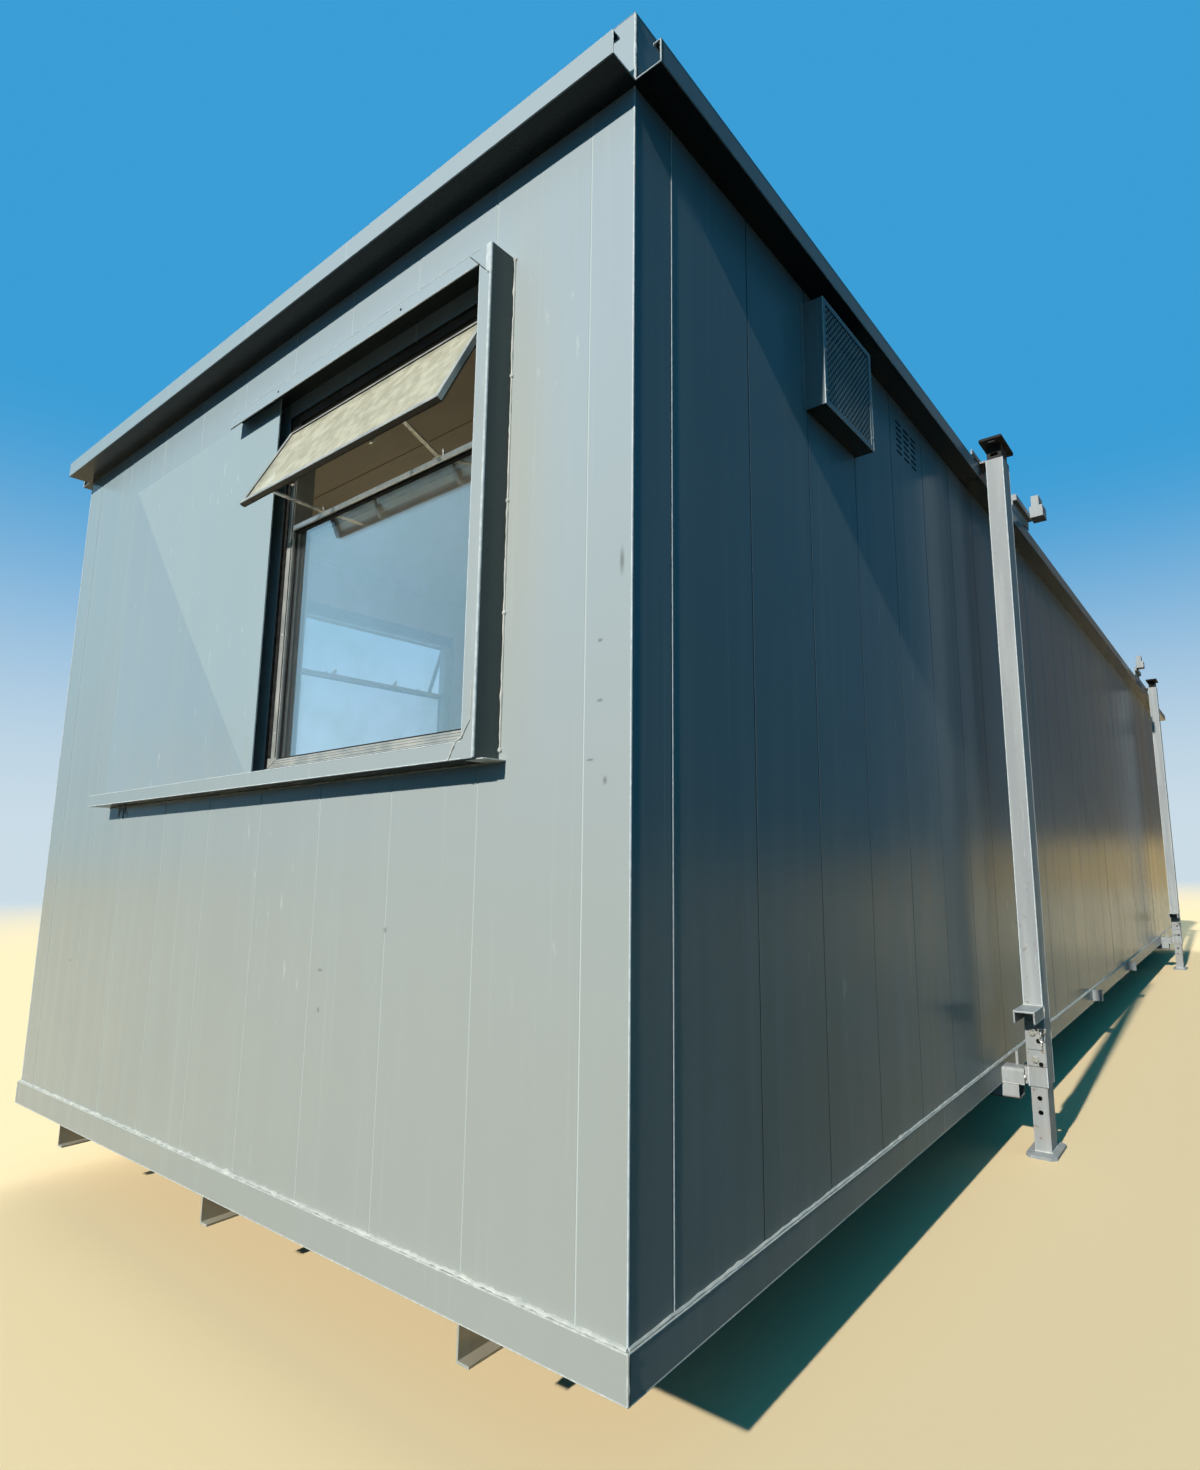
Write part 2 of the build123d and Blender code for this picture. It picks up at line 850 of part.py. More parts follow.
with BuildPart() as cowl_grille:
    grille_half = cowl_half - cowl_steel
    grille_up = (cowl_up[0] + cowl_steel, cowl_up[1] - cowl_steel)
    grille_pitch = (
        2 * (cowl_half - grille_frame) / grille_holes,
        (cowl_height - 2 * grille_frame) / grille_holes,
    )
    slab(
        cowl_plane,
        (-grille_half, grille_half),
        grille_up,
        (cowl_depth - 2 * cowl_steel, cowl_depth - cowl_steel),
    )
    with BuildSketch(cowl_plane.offset(cowl_depth - cowl_steel)) as holes:
        with Locations((0, (grille_up[0] + grille_up[1]) / 2)):
            with GridLocations(*grille_pitch, round(grille_holes), round(grille_holes)):
                Rectangle(grille_hole, grille_hole, rotation=45)
    extrude(holes.sketch, amount=-cowl_steel, mode=Mode.SUBTRACT)
finish(cowl_grille, "cowl_grille")

# Jacking legs: an outer tube with its brackets on each long side, and a foot that slides in it
with BuildPart() as leg_tubes:
    for x, y in leg_places:
        side = math.copysign(1, x)
        block(
            (x - leg_width / 2, x + leg_width / 2),
            (y - leg_depth / 2, y + leg_depth / 2),
            (leg_bottom, leg_top),
        )
        front_face = y - leg_depth / 2
        block(
            (x - leg_width / 2, x + leg_width / 2),
            (front_face - doubler_steel, front_face),
            (doubler_bottom, doubler_bottom + doubler_height),
        )
        block(
            (x - hook_width / 2, x + hook_width / 2),
            (front_face - hook_reach, front_face),
            (hook_top - hook_height, hook_top),
        )
        block(
            (x - hook_width / 2 + hook_steel, x + hook_width / 2 - hook_steel),
            (front_face - hook_reach, front_face),
            (hook_top - hook_height, hook_top - hook_steel),
            mode=Mode.SUBTRACT,
        )
        lug_near = side * (half_width + beam_reach)
        lug_far = x - side * leg_width / 2
        block(
            (min(lug_near, lug_far), max(lug_near, lug_far)),
            (y - lug_width / 2, y + lug_width / 2),
            (leg_bottom, leg_bottom + lug_height),
        )
        block(
            (x - leg_width / 2 + leg_steel, x + leg_width / 2 - leg_steel),
            (y - leg_depth / 2 + leg_steel, y + leg_depth / 2 - leg_steel),
            (leg_bottom, leg_top),
            mode=Mode.SUBTRACT,
        )
finish(leg_tubes, "leg_tubes")

bore_width = leg_width - 2 * leg_steel
bore_depth = leg_depth - 2 * leg_steel
cap_plate_z = leg_top + cap_rise

with BuildPart() as leg_caps:
    for x, y in leg_places:
        block(
            (x - bore_width / 2, x + bore_width / 2),
            (y - bore_depth / 2, y + bore_depth / 2),
            (leg_top - cap_plug_seat, cap_plate_z),
        )
        with BuildSketch(Plane.XY.offset(cap_plate_z)) as plate:
            with Locations((x, y)):
                RectangleRounded(cap_plate_width, cap_plate_length, cap_corner)
            for end in (-1, 1):
                with Locations((x, y + end * (cap_plate_length / 2 - cap_slot_from_end))):
                    SlotOverall(cap_slot_length, cap_slot_width, mode=Mode.SUBTRACT)
        extrude(plate.sketch, amount=cap_plate_steel)
        with BuildSketch(side_plane(y + bore_depth / 2)) as neck_slot:
            with Locations((x, leg_top + neck_slot_height)):
                SlotOverall(cap_slot_length, cap_slot_width)
        extrude(neck_slot.sketch, amount=bore_depth, mode=Mode.SUBTRACT)
finish(leg_caps, "leg_caps")

with BuildPart() as leg_brackets:
    gutter_top = soffit + gutter_face
    gutter_out = half_width + gutter_reach
    arm = (leg_top - bracket_steel, leg_top)
    for x, y in leg_places:
        side = math.copysign(1, x)
        inward = math.copysign(1, middle_y - y)
        near = side * half_width
        strip_near = side * gutter_out
        strip_x = sorted((strip_near, strip_near + side * bracket_steel))
        strip_run = sorted((y - inward * roof_strip_outward, y + inward * top_bar_end))
        bar_run = sorted((y + inward * top_bar_start, y + inward * top_bar_end))
        block_start = y + inward * end_block_start
        block_run = sorted((block_start, block_start + inward * end_block_length))
        block_near = strip_near + side * end_block_stand_off
        block_top = end_block_bottom + end_block_height
        upper_near = strip_near + side * upper_block_stand_off
        block(
            sorted((near, near + side * bracket_steel)),
            (y - bracket_width / 2, y + bracket_width / 2),
            (gutter_top, gutter_top + bracket_height),
        )
        block(
            sorted((near, x - side * leg_width / 2)),
            (y - leg_depth / 2, y + leg_depth / 2),
            arm,
        )
        for tie_y in (strip_run[0] + tie_width, strip_run[1] - 2 * tie_width):
            block(sorted((near, strip_near)), (tie_y, tie_y + tie_width), arm)
        block(strip_x, strip_run, (arm[0], roof_strip_top))
        block(strip_x, bar_run, (roof_strip_top, top_bar_bottom + top_bar_height))
        block(
            sorted((strip_near, strip_near + side * top_bar_width)),
            bar_run,
            (top_bar_bottom, top_bar_bottom + top_bar_height),
        )
        block(
            sorted((block_near, block_near + side * end_block_width)),
            block_run,
            (end_block_bottom, block_top),
        )
        block(
            sorted((upper_near, upper_near + side * upper_block_width)),
            block_run,
            (block_top, block_top + upper_block_height),
        )
finish(leg_brackets, "leg_brackets")

foot_width = bore_width - 2 * foot_clearance
foot_depth = bore_depth - 2 * foot_clearance

for name, (x, y) in zip(leg_names, leg_places):
    with BuildPart() as foot:
        with BuildSketch() as plate:
            with Locations((x, y)):
                Rectangle(foot_plate_width, foot_plate_length)
            chamfer(plate.vertices(), foot_plate_clip)
        extrude(plate.sketch, amount=foot_plate_steel)
        with BuildSketch(Plane.XY.offset(foot_plate_steel)) as section:
            with Locations((x, y)):
                Rectangle(foot_width, foot_depth)
                Rectangle(foot_width - 2 * foot_steel, foot_depth - 2 * foot_steel, mode=Mode.SUBTRACT)
        extrude(section.sketch, amount=foot_length)
        with BuildSketch(side_plane(y + foot_depth / 2)) as pin_holes:
            for hole_z in (foot_pin_height, foot_pin_height + foot_pin_pitch):
                with Locations((x, hole_z)):
                    Circle(foot_pin_hole)
        extrude(pin_holes.sketch, amount=foot_depth, mode=Mode.SUBTRACT)
    finish(foot, f"foot_{name}")
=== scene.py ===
import math
import random

import bmesh
import bpy
from mathutils import Matrix, Vector


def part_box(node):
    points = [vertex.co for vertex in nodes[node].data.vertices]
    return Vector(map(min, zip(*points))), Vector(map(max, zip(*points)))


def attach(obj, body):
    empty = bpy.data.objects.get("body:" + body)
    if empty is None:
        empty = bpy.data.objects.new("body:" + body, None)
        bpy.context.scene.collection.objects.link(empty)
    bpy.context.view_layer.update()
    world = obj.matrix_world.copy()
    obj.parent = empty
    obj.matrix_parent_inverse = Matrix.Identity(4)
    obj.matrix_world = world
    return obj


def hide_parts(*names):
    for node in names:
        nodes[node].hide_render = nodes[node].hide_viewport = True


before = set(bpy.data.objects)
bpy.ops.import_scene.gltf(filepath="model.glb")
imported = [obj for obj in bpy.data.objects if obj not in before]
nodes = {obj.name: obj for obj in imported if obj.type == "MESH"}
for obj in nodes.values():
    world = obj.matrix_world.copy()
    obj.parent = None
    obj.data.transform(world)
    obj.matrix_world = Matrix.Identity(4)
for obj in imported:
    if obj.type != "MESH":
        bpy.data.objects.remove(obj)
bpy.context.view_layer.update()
scene = bpy.context.scene
chance = random.Random(7)

# Camera: place, aim and framing worked out from the cabin's own corners in the photograph
IMAGE_WIDTH = 1200
IMAGE_HEIGHT = 1470
FOCAL_PIXELS = 784.4
CENTRE_PIXEL = (723.7, 735.6)
CAMERA_FROM_CORNER = Vector((0.9202, -1.0571, 0.8573))
CAMERA_AZIMUTH = math.radians(-34.259)
CAMERA_TILT = math.radians(8.969)
CAMERA_ROLL = math.radians(-0.750)
SENSOR = 36.0


def make_camera():
    """Camera at the photograph's place, with its aim given as azimuth from +Y, tilt and roll."""
    sine, cosine = math.sin(CAMERA_AZIMUTH), math.cos(CAMERA_AZIMUTH)
    flat = math.cos(CAMERA_TILT)
    forward = Vector((sine * flat, cosine * flat, math.sin(CAMERA_TILT)))
    level = Vector((cosine, -sine, 0))
    upright = level.cross(forward)
    right = math.cos(CAMERA_ROLL) * level + math.sin(CAMERA_ROLL) * upright
    up = -math.sin(CAMERA_ROLL) * level + math.cos(CAMERA_ROLL) * upright
    data = bpy.data.cameras.new("photo_camera")
    data.sensor_width = SENSOR
    data.lens = FOCAL_PIXELS / IMAGE_HEIGHT * SENSOR
    data.shift_x = (IMAGE_WIDTH / 2 - CENTRE_PIXEL[0]) / IMAGE_HEIGHT
    data.shift_y = (CENTRE_PIXEL[1] - IMAGE_HEIGHT / 2) / IMAGE_HEIGHT
    camera = bpy.data.objects.new("photo_camera", data)
    turn = Matrix((right, up, -forward)).transposed().to_4x4()
    low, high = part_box("end_base_rails")
    near_corner = Vector((high[0], low[1], low[2]))
    camera.matrix_world = Matrix.Translation(near_corner + CAMERA_FROM_CORNER) @ turn
    scene.collection.objects.link(camera)
    scene.camera = camera


make_camera()
scene.view_settings.view_transform = "Standard"

# Places on the cabin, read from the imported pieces
(_, FRONT_Y, RAIL_LOW), (EDGE_X, BACK_Y, RAIL_TOP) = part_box("end_base_rails")
MIDDLE_Y = (FRONT_Y + BACK_Y) / 2
(_, _, SOFFIT), (_, _, ROOF_EDGE_TOP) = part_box("end_roof_edges")
GUTTER_X, _, GUTTER_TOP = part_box("side_gutters")[1]
END_GUTTER_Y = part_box("end_gutters")[0][1]
GUTTER_LIP = 0.020
FACE_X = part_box("right_cladding")[1][0]
RECESS = EDGE_X - FACE_X
END_SEAM, FACE_Y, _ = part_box("front_cladding")[0]
BACK_FACE_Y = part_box("back_cladding")[1][1]
SIDE_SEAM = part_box("right_cladding")[0][1]
PLANK = 0.305
WINDOW_HEAD = 2.349
SIDES = (-1, 1)
ENDS = ((FRONT_Y, 1), (BACK_Y, -1))
CORNERS = [(x, y, inward) for x in SIDES for y, inward in ENDS]

# Light: a soft key that falls on the front wall and only grazes the long right wall
KEY_TRAVEL = Vector((-0.033, 0.80, -0.51))
KEY_STRENGTH = 4.4
KEY_COLOUR = (1.0, 0.965, 0.89)
KEY_SOFTNESS = math.radians(1.2)
BACK_TRAVEL = Vector((0.62, -0.60, -0.50))
BACK_STRENGTH = 2.4
BACK_COLOUR = (1.0, 0.99, 0.98)
BACK_SOFTNESS = math.radians(40)
SUN_DISTANCE = 12
ROOM_LAMPS = [(-0.3, -3.6, 1.5), (0.0, 0.6, 1.5), (0.0, 3.6, 1.5)]
ROOM_POWER = 7.0
ROOM_COLOUR = (1.0, 0.90, 0.66)
ROOM_SOFTNESS = 0.3

# Backdrop tones and where they change: round the cabin in radians from +Y, upward by the direction's Z
AMBIENT = (0.06, 0.57, 1.0)
AMBIENT_STRENGTH = 0.33
HORIZON = (0.60, 0.72, 0.80)
ZENITH = (0.045, 0.34, 0.67)
DEEP = (0.05, 0.17, 0.29)
LEFT_SKY = (0.42, 0.72, 0.92)
LEFT_START = (-1.50, -1.75)
DEEP_START = (0.24, 0.42)
DEEP_END = (1.10, 1.50)
HORIZON_FADE = (0.0, 0.45)
FAR_GLOSS = (0.95, 0.70, 0.30)
SHED_GLOSS = (0.21, 0.165, 0.11)
SHED_START = (-0.30, 0.0)
SHED_HEIGHT = (0.0, 0.03)
FLOOR_PALE = (0.92, 0.72, 0.43)
FLOOR_BOUNCE = (0.022, 0.024, 0.022)
FLOOR_REACH = 160.0
FLOOR_FADE = (9.0, 34.0)


def add_lamp(name, kind, power, colour):
    data = bpy.data.lights.new(name, kind)
    data.energy = power
    data.color = colour
    lamp = bpy.data.objects.new(name, data)
    scene.collection.objects.link(lamp)
    return lamp


def sun(name, travel, strength, softness, colour):
    """Parallel light that travels in one direction."""
    lamp = add_lamp(name, "SUN", strength, colour)
    lamp.data.angle = softness
    lamp.rotation_euler = travel.to_track_quat("-Z", "Y").to_euler()
    lamp.location = -travel.normalized() * SUN_DISTANCE
    return lamp


def room_light():
    """Weak warm light inside, for the daylight that the floor and linings pass on."""
    for place in ROOM_LAMPS:
        lamp = add_lamp("room", "POINT", ROOM_POWER, ROOM_COLOUR)
        lamp.data.shadow_soft_size = ROOM_SOFTNESS
        lamp.location = place
        lamp.visible_camera = False
        lamp.visible_glossy = False


class Nodes:
    """Short ways to add shader nodes to one tree."""

    def __init__(self, tree):
        self.tree = tree

    def put(self, socket, value):
        """Set a socket, or link an output to it."""
        if isinstance(value, bpy.types.NodeSocket):
            self.tree.links.new(value, socket)
        elif isinstance(value, tuple) and len(value) == 3 and socket.type == "RGBA":
            socket.default_value = (*value, 1)
        else:
            socket.default_value = value

    def set(self, node, **values):
        """Set a node's sockets by name, with underscores for spaces."""
        for name, value in values.items():
            self.put(node.inputs[name.replace("_", " ")], value)

    def new(self, kind, **values):
        node = self.tree.nodes.new("ShaderNode" + kind)
        self.set(node, **values)
        return node

    def map(self, value, low, high, to_low=0.0, to_high=1.0):
        """Smooth step from one range to another."""
        node = self.new("MapRange", Value=value, From_Min=low, From_Max=high, To_Min=to_low, To_Max=to_high)
        node.interpolation_type = "SMOOTHSTEP"
        return node.outputs[0]

    def math(self, operation, a, b=0.0, clamp=False):
        node = self.new("Math")
        node.operation = operation
        node.use_clamp = clamp
        self.put(node.inputs[0], a)
        self.put(node.inputs[1], b)
        return node.outputs[0]

    def times(self, a, b):
        return self.math("MULTIPLY", a, b)

    def vector(self, operation, a, b=None):
        node = self.new("VectorMath")
        node.operation = operation
        self.put(node.inputs[0], a)
        if b:
            node.inputs[1].default_value = b
        return node.outputs["Value" if operation == "LENGTH" else "Vector"]

    def mix(self, factor, a, b):
        node = self.new("Mix")
        node.data_type = "RGBA"
        self.put(node.inputs["Factor"], factor)
        self.put(node.inputs[6], a)
        self.put(node.inputs[7], b)
        return node.outputs[2]

    def either(self, factor, first, second):
        """Mix of the shaders of two nodes."""
        node = self.new("MixShader")
        for socket, value in zip(node.inputs, (factor, first.outputs[0], second.outputs[0])):
            self.put(socket, value)
        return node

    def glossy(self):
        return self.new("LightPath").outputs["Is Glossy Ray"]

    def seen_directly(self):
        """1 for camera, glossy and transmission rays, 0 for the rays that carry bounced light."""
        rays = self.new("LightPath").outputs
        total = self.math("ADD", rays["Is Camera Ray"], rays["Is Glossy Ray"], True)
        return self.math("ADD", total, rays["Is Transmission Ray"], True)


def make_world():
    """Pale blue backdrop where it is seen, deeper to one side, and a low blue light on the object.

    In one span of it glossy rays see two warm tones in place of the sky, one above the other.
    """
    world = bpy.data.worlds.new("studio")
    scene.world = world
    world.use_nodes = True
    world.node_tree.nodes.clear()
    g = Nodes(world.node_tree)
    split = g.new("SeparateXYZ", Vector=g.new("TexCoord").outputs["Generated"]).outputs
    around = g.math("ARCTAN2", split["X"], split["Y"])
    deep = g.math("SUBTRACT", g.map(around, *DEEP_START), g.map(around, *DEEP_END))
    sky = g.mix(g.map(split["Z"], *HORIZON_FADE), HORIZON, ZENITH)
    sky = g.mix(g.map(around, *LEFT_START), sky, LEFT_SKY)
    sky = g.mix(deep, sky, DEEP)
    beyond = g.math("SUBTRACT", g.map(around, *SHED_START), g.map(around, *DEEP_START))
    shed = g.mix(g.map(split["Z"], *SHED_HEIGHT), FAR_GLOSS, SHED_GLOSS)
    sky = g.mix(g.times(beyond, g.glossy()), sky, shed)
    light = g.new("Background", Color=AMBIENT, Strength=AMBIENT_STRENGTH)
    backdrop = g.new("Background", Color=sky)
    g.new("OutputWorld", Surface=g.either(g.seen_directly(), light, backdrop).outputs[0])


def make_floor():
    """Plain pale floor that fades into the backdrop far from the cabin, warmer for glossy rays."""
    mesh = bpy.data.meshes.new("floor")
    corners = [(-1, -1), (1, -1), (1, 1), (-1, 1)]
    mesh.from_pydata([(x * FLOOR_REACH, y * FLOOR_REACH, 0) for x, y in corners], [], [(0, 1, 2, 3)])
    floor = bpy.data.objects.new("floor", mesh)
    scene.collection.objects.link(floor)
    material = bpy.data.materials.new("floor")
    material.use_nodes = True
    material.node_tree.nodes.clear()
    g = Nodes(material.node_tree)
    distance = g.vector("LENGTH", g.new("TexCoord").outputs["Object"])
    pale = g.new("BsdfDiffuse", Color=FLOOR_PALE)
    far = g.new("Emission", Color=g.mix(g.glossy(), HORIZON, FAR_GLOSS))
    bounce = g.new("BsdfDiffuse", Color=FLOOR_BOUNCE)
    seen = g.either(g.map(distance, *FLOOR_FADE), pale, far)
    g.new("OutputMaterial", Surface=g.either(g.seen_directly(), bounce, seen).outputs[0])
    mesh.materials.append(material)


make_world()
make_floor()
sun("key", KEY_TRAVEL, KEY_STRENGTH, KEY_SOFTNESS, KEY_COLOUR)
back_fill = sun("back_fill", BACK_TRAVEL, BACK_STRENGTH, BACK_SOFTNESS, BACK_COLOUR)
back_fill.visible_glossy = False
room_light()


# Materials
class Graph(Nodes):
    """The nodes of one material. Places are in the cabin's own metres."""

    def __init__(self, name):
        self.material = bpy.data.materials.new(name)
        self.material.use_nodes = True
        super().__init__(self.material.node_tree)
        self.place = self.new("TexCoord").outputs["Object"]
        self.paint = None

    def surface(self, **values):
        """Give the material its paint and the shader its other values."""
        self.set(self.tree.nodes["Principled BSDF"], Base_Color=self.paint, **values)

    def noise(self, scale, detail, stretch=None, distortion=0.0):
        """Soft random pattern, with each axis scaled by its own factor where a stretch is given."""
        place = self.place
        if stretch:
            place = self.new("Mapping", Scale=stretch, Vector=place).outputs[0]
        node = self.new("TexNoise", Vector=place, Scale=scale, Detail=detail, Roughness=0.55)
        node.inputs["Distortion"].default_value = distortion
        return node.outputs[0]

    def axis(self, name):
        return self.new("SeparateXYZ", Vector=self.place).outputs[name]

    def facing(self, name, kind="Normal"):
        """One axis of the direction that the surface faces."""
        return self.new("SeparateXYZ", Vector=self.new("NewGeometry").outputs[kind]).outputs[name]

    # Faces turned downward, where painted shade goes.
    def downward_shade(self):
        return self.map(self.facing("Z"), -0.3, -0.75)

    def to_front(self):
        return self.map(self.facing("Y"), -0.35, -0.85)

    def near(self, point, radii):
        """1 at a point, falling to 0 at an ellipsoid round it."""
        share = self.vector("DIVIDE", self.vector("SUBTRACT", self.place, point), radii)
        return self.map(self.vector("LENGTH", share), 1.0, 0.0)

    def at_level(self, value, level):
        """1 within about 3 mm of a level."""
        away = self.math("ABSOLUTE", self.math("SUBTRACT", value, level))
        return self.map(away, 0.0035, 0.0028)

    def seam(self, name, first, half):
        """1 within a small distance of the plank joints along one axis."""
        steps = self.math("DIVIDE", self.math("SUBTRACT", self.axis(name), first), PLANK)
        away = self.math("ABSOLUTE", self.math("SUBTRACT", steps, self.math("ROUND", steps)))
        return self.map(away, 1.4 * half / PLANK, 0.6 * half / PLANK)

    def tone(self, value, low, high, first, second):
        """One colour that turns into another as a value goes from low to high."""
        return self.mix(self.map(value, low, high), first, second)

    def lay(self, share, colour, most=None):
        """Mix a colour over the paint so far, by a share or a part of that share."""
        self.paint = self.mix(self.times(share, most) if most else share, self.paint, colour)

    def bump(self, height, strength, distance, **normal):
        return self.new("Bump", Height=height, Strength=strength, Distance=distance, **normal).outputs[0]


materials = {}


def material(describe):
    """Makes the material that a function describes, under the function's own name."""
    g = Graph(describe.__name__)
    describe(g)
    materials[describe.__name__] = g.material
    return describe


# Scuffs on the front wall, as (x, z, half width, half height) in metres
FRONT_SCUFFS = [
    (1.413, 1.508, 0.010, 0.006),
    (1.414, 1.391, 0.012, 0.005),
    (1.429, 1.239, 0.008, 0.012),
    (1.391, 1.280, 0.014, 0.004),
    (0.765, 0.945, 0.010, 0.010),
    (0.506, 0.841, 0.016, 0.005),
    (0.509, 0.749, 0.007, 0.010),
    (-1.138, 0.768, 0.012, 0.008),
    (1.467, 1.655, 0.009, 0.040),
]


@material
def body_paint(g):
    """Satin blue-grey coating with a leather grain and faint runs. The front wall is lighter: pale dust and
    painted sunlight. Painted shade on faces turned downward and on the sides of parts standing out from the
    front, painted highlights in the front plank joints.
    """
    front = g.times(g.to_front(), g.map(g.axis("Y"), FRONT_Y + 0.06, FRONT_Y + 0.04))
    height = g.axis("Z")
    across = g.axis("X")
    plain = g.tone(g.noise(0.7, 2.0), 0.3, 0.7, (0.232, 0.285, 0.310), (0.258, 0.308, 0.332))
    grime = g.times(g.map(height, 1.9, 0.5), g.map(g.noise(2.4, 4.0), 0.2, 0.8, 0.45, 0.85))
    plain = g.mix(grime, plain, (0.250, 0.235, 0.185))
    # Front wall: pale dust and painted sunlight, lighter to the right and higher up; lighter still in a
    # patch beside the jamb.
    left = g.tone(height, 0.5, 2.3, (0.298, 0.324, 0.300), (0.285, 0.366, 0.400))
    right = g.tone(height, 0.5, 2.3, (0.362, 0.386, 0.362), (0.385, 0.455, 0.490))
    front_dust_and_light = g.tone(across, -1.6, 1.4, left, right)
    beside_jamb = g.times(g.near((1.17, FACE_Y, 1.95), (0.16, 0.2, 0.85)), 0.55)
    front_dust_and_light = g.mix(beside_jamb, front_dust_and_light, (0.440, 0.435, 0.370))
    g.paint = g.mix(front, plain, front_dust_and_light)
    runs = g.noise(1.0, 4.0, (11, 11, 0.35))
    g.lay(g.map(runs, 0.42, 0.75, 0.0, 0.22), (0.38, 0.43, 0.42))
    fine_runs = g.noise(1.0, 2.0, (70, 70, 0.9))
    g.lay(g.map(fine_runs, 0.60, 0.78, 0.0, 0.16), (0.52, 0.56, 0.54))
    low = g.times(g.map(height, 1.5, 0.35), g.map(g.noise(3.0, 5.0), 0.2, 0.8, 0.2, 1.0))
    # The low band is lighter on the front wall too: painted sunlight over the dust.
    g.lay(low, g.mix(front, (0.300, 0.312, 0.262), (0.375, 0.392, 0.345)), 0.40)
    scuffs = g.map(g.noise(1.0, 5.0, (38, 38, 9)), 0.63, 0.70)
    g.lay(g.times(scuffs, g.map(g.noise(1.9, 2.0), 0.55, 0.70)), (0.62, 0.65, 0.64), 0.35)
    # Pale lines in the front wall's plank joints: painted highlights.
    seam_highlights = g.times(g.times(g.seam("X", END_SEAM, 0.0022), front), g.at_level(g.axis("Y"), FACE_Y))
    g.lay(seam_highlights, (0.62, 0.68, 0.66), 0.75)
    on_side = g.at_level(g.math("ABSOLUTE", across), FACE_X)
    g.lay(g.times(g.seam("Y", SIDE_SEAM, 0.0020), on_side), (0.03, 0.045, 0.055), 0.8)
    for x, z, wide, tall in FRONT_SCUFFS:
        g.lay(g.near((x, FACE_Y, z), (wide, 0.01, tall)), (0.12, 0.13, 0.12), 0.7)
    # Painted shade on the sides of parts that stand out from the front wall.
    proud_side_shade = g.map(g.axis("Y"), FACE_Y - 0.0005, FACE_Y - 0.002)
    g.lay(g.times(g.map(g.math("ABSOLUTE", g.facing("X")), 0.4, 0.85), proud_side_shade), (0.10, 0.12, 0.115))
    # Painted shade on faces turned downward.
    g.lay(g.downward_shade(), (0.024, 0.030, 0.031))
    speckle = g.map(g.noise(900, 1.0), 0.3, 0.7, -0.016, 0.016)
    g.paint = g.new("BrightContrast", Color=g.paint, Bright=speckle).outputs[0]
    g.surface(
        Roughness=g.map(runs, 0.3, 0.8, 0.17, 0.28),
        Specular_IOR_Level=0.09,
        Normal=g.bump(g.noise(420, 2.0), 0.22, 0.0006, Normal=g.bump(g.noise(2.2, 1.0), 0.35, 0.004)),
    )


@material
def shutter_paint(g):
    """The same coating on the shutter plates, a little bluer and with less dust, with painted light and
    shade on the facets of the cross-break.
    """
    runs = g.noise(1.0, 4.0, (16, 16, 0.5))
    # Cross-break facets lighter or darker by their tilt: painted light and shade.
    facet_tilt_shade = g.math("ADD", g.facing("X", "True Normal"), g.facing("Z", "True Normal"))
    g.paint = g.tone(facet_tilt_shade, -0.007, 0.007, (0.285, 0.374, 0.425), (0.338, 0.430, 0.462))
    g.lay(g.map(g.noise(0.9, 2.0), 0.3, 0.7, 0.0, 0.18), (0.36, 0.44, 0.46))
    g.lay(g.map(runs, 0.45, 0.75, 0.0, 0.25), (0.38, 0.45, 0.46))
    low = g.times(g.map(g.axis("Z"), 1.62, 1.30), g.map(g.noise(16, 5.0), 0.3, 0.7, 0.2, 1.0))
    g.lay(low, (0.34, 0.37, 0.35), 0.55)
    g.lay(g.map(g.noise(1.0, 4.0, (60, 60, 12)), 0.66, 0.72), (0.60, 0.65, 0.66), 0.4)
    g.surface(
        Roughness=g.map(runs, 0.3, 0.8, 0.36, 0.50),
        Specular_IOR_Level=0.03,
        Normal=g.bump(g.noise(3.0, 1.0), 0.15, 0.002),
    )


@material
def leg_paint(g):
    """Paler grey paint on the jacking legs, with scuffs down to primer and a little rust at the foot."""
    runs = g.noise(1.0, 4.0, (30, 30, 2.0))
    g.paint = g.tone(runs, 0.35, 0.7, (0.31, 0.335, 0.345), (0.39, 0.41, 0.41))
    chips = g.map(g.noise(55, 4.0), 0.63, 0.68)
    g.lay(g.times(chips, g.map(g.axis("Z"), 1.2, 0.2, 0.12, 0.8)), (0.20, 0.12, 0.08))
    low = g.map(g.axis("Z"), 0.75, 0.10)
    g.lay(g.times(low, g.map(g.noise(9, 5.0), 0.3, 0.8, 0.0, 0.5)), (0.36, 0.32, 0.25))
    scratch = g.noise(1.0, 3.0, (220, 220, 14))
    g.lay(g.map(scratch, 0.68, 0.74, 0.0, 0.6), (0.58, 0.60, 0.59))
    # Painted shade on faces turned downward.
    g.lay(g.downward_shade(), (0.05, 0.05, 0.05))
    g.surface(
        Roughness=g.map(runs, 0.3, 0.8, 0.42, 0.62),
        Specular_IOR_Level=0.22,
        Normal=g.bump(g.noise(160, 3.0), 0.18, 0.0012),
    )


@material
def dark_steel(g):
    """Blackened steel with rust that breaks through in patches."""
    patches = g.noise(14, 6.0)
    g.paint = g.tone(g.noise(4.0, 4.0), 0.3, 0.7, (0.012, 0.012, 0.013), (0.030, 0.029, 0.028))
    g.lay(g.map(patches, 0.62, 0.716), (0.055, 0.034, 0.024))
    g.surface(
        Roughness=g.map(patches, 0.3, 0.8, 0.50, 0.70),
        Specular_IOR_Level=0.10,
        Normal=g.bump(g.noise(120, 4.0), 0.3, 0.0015),
    )


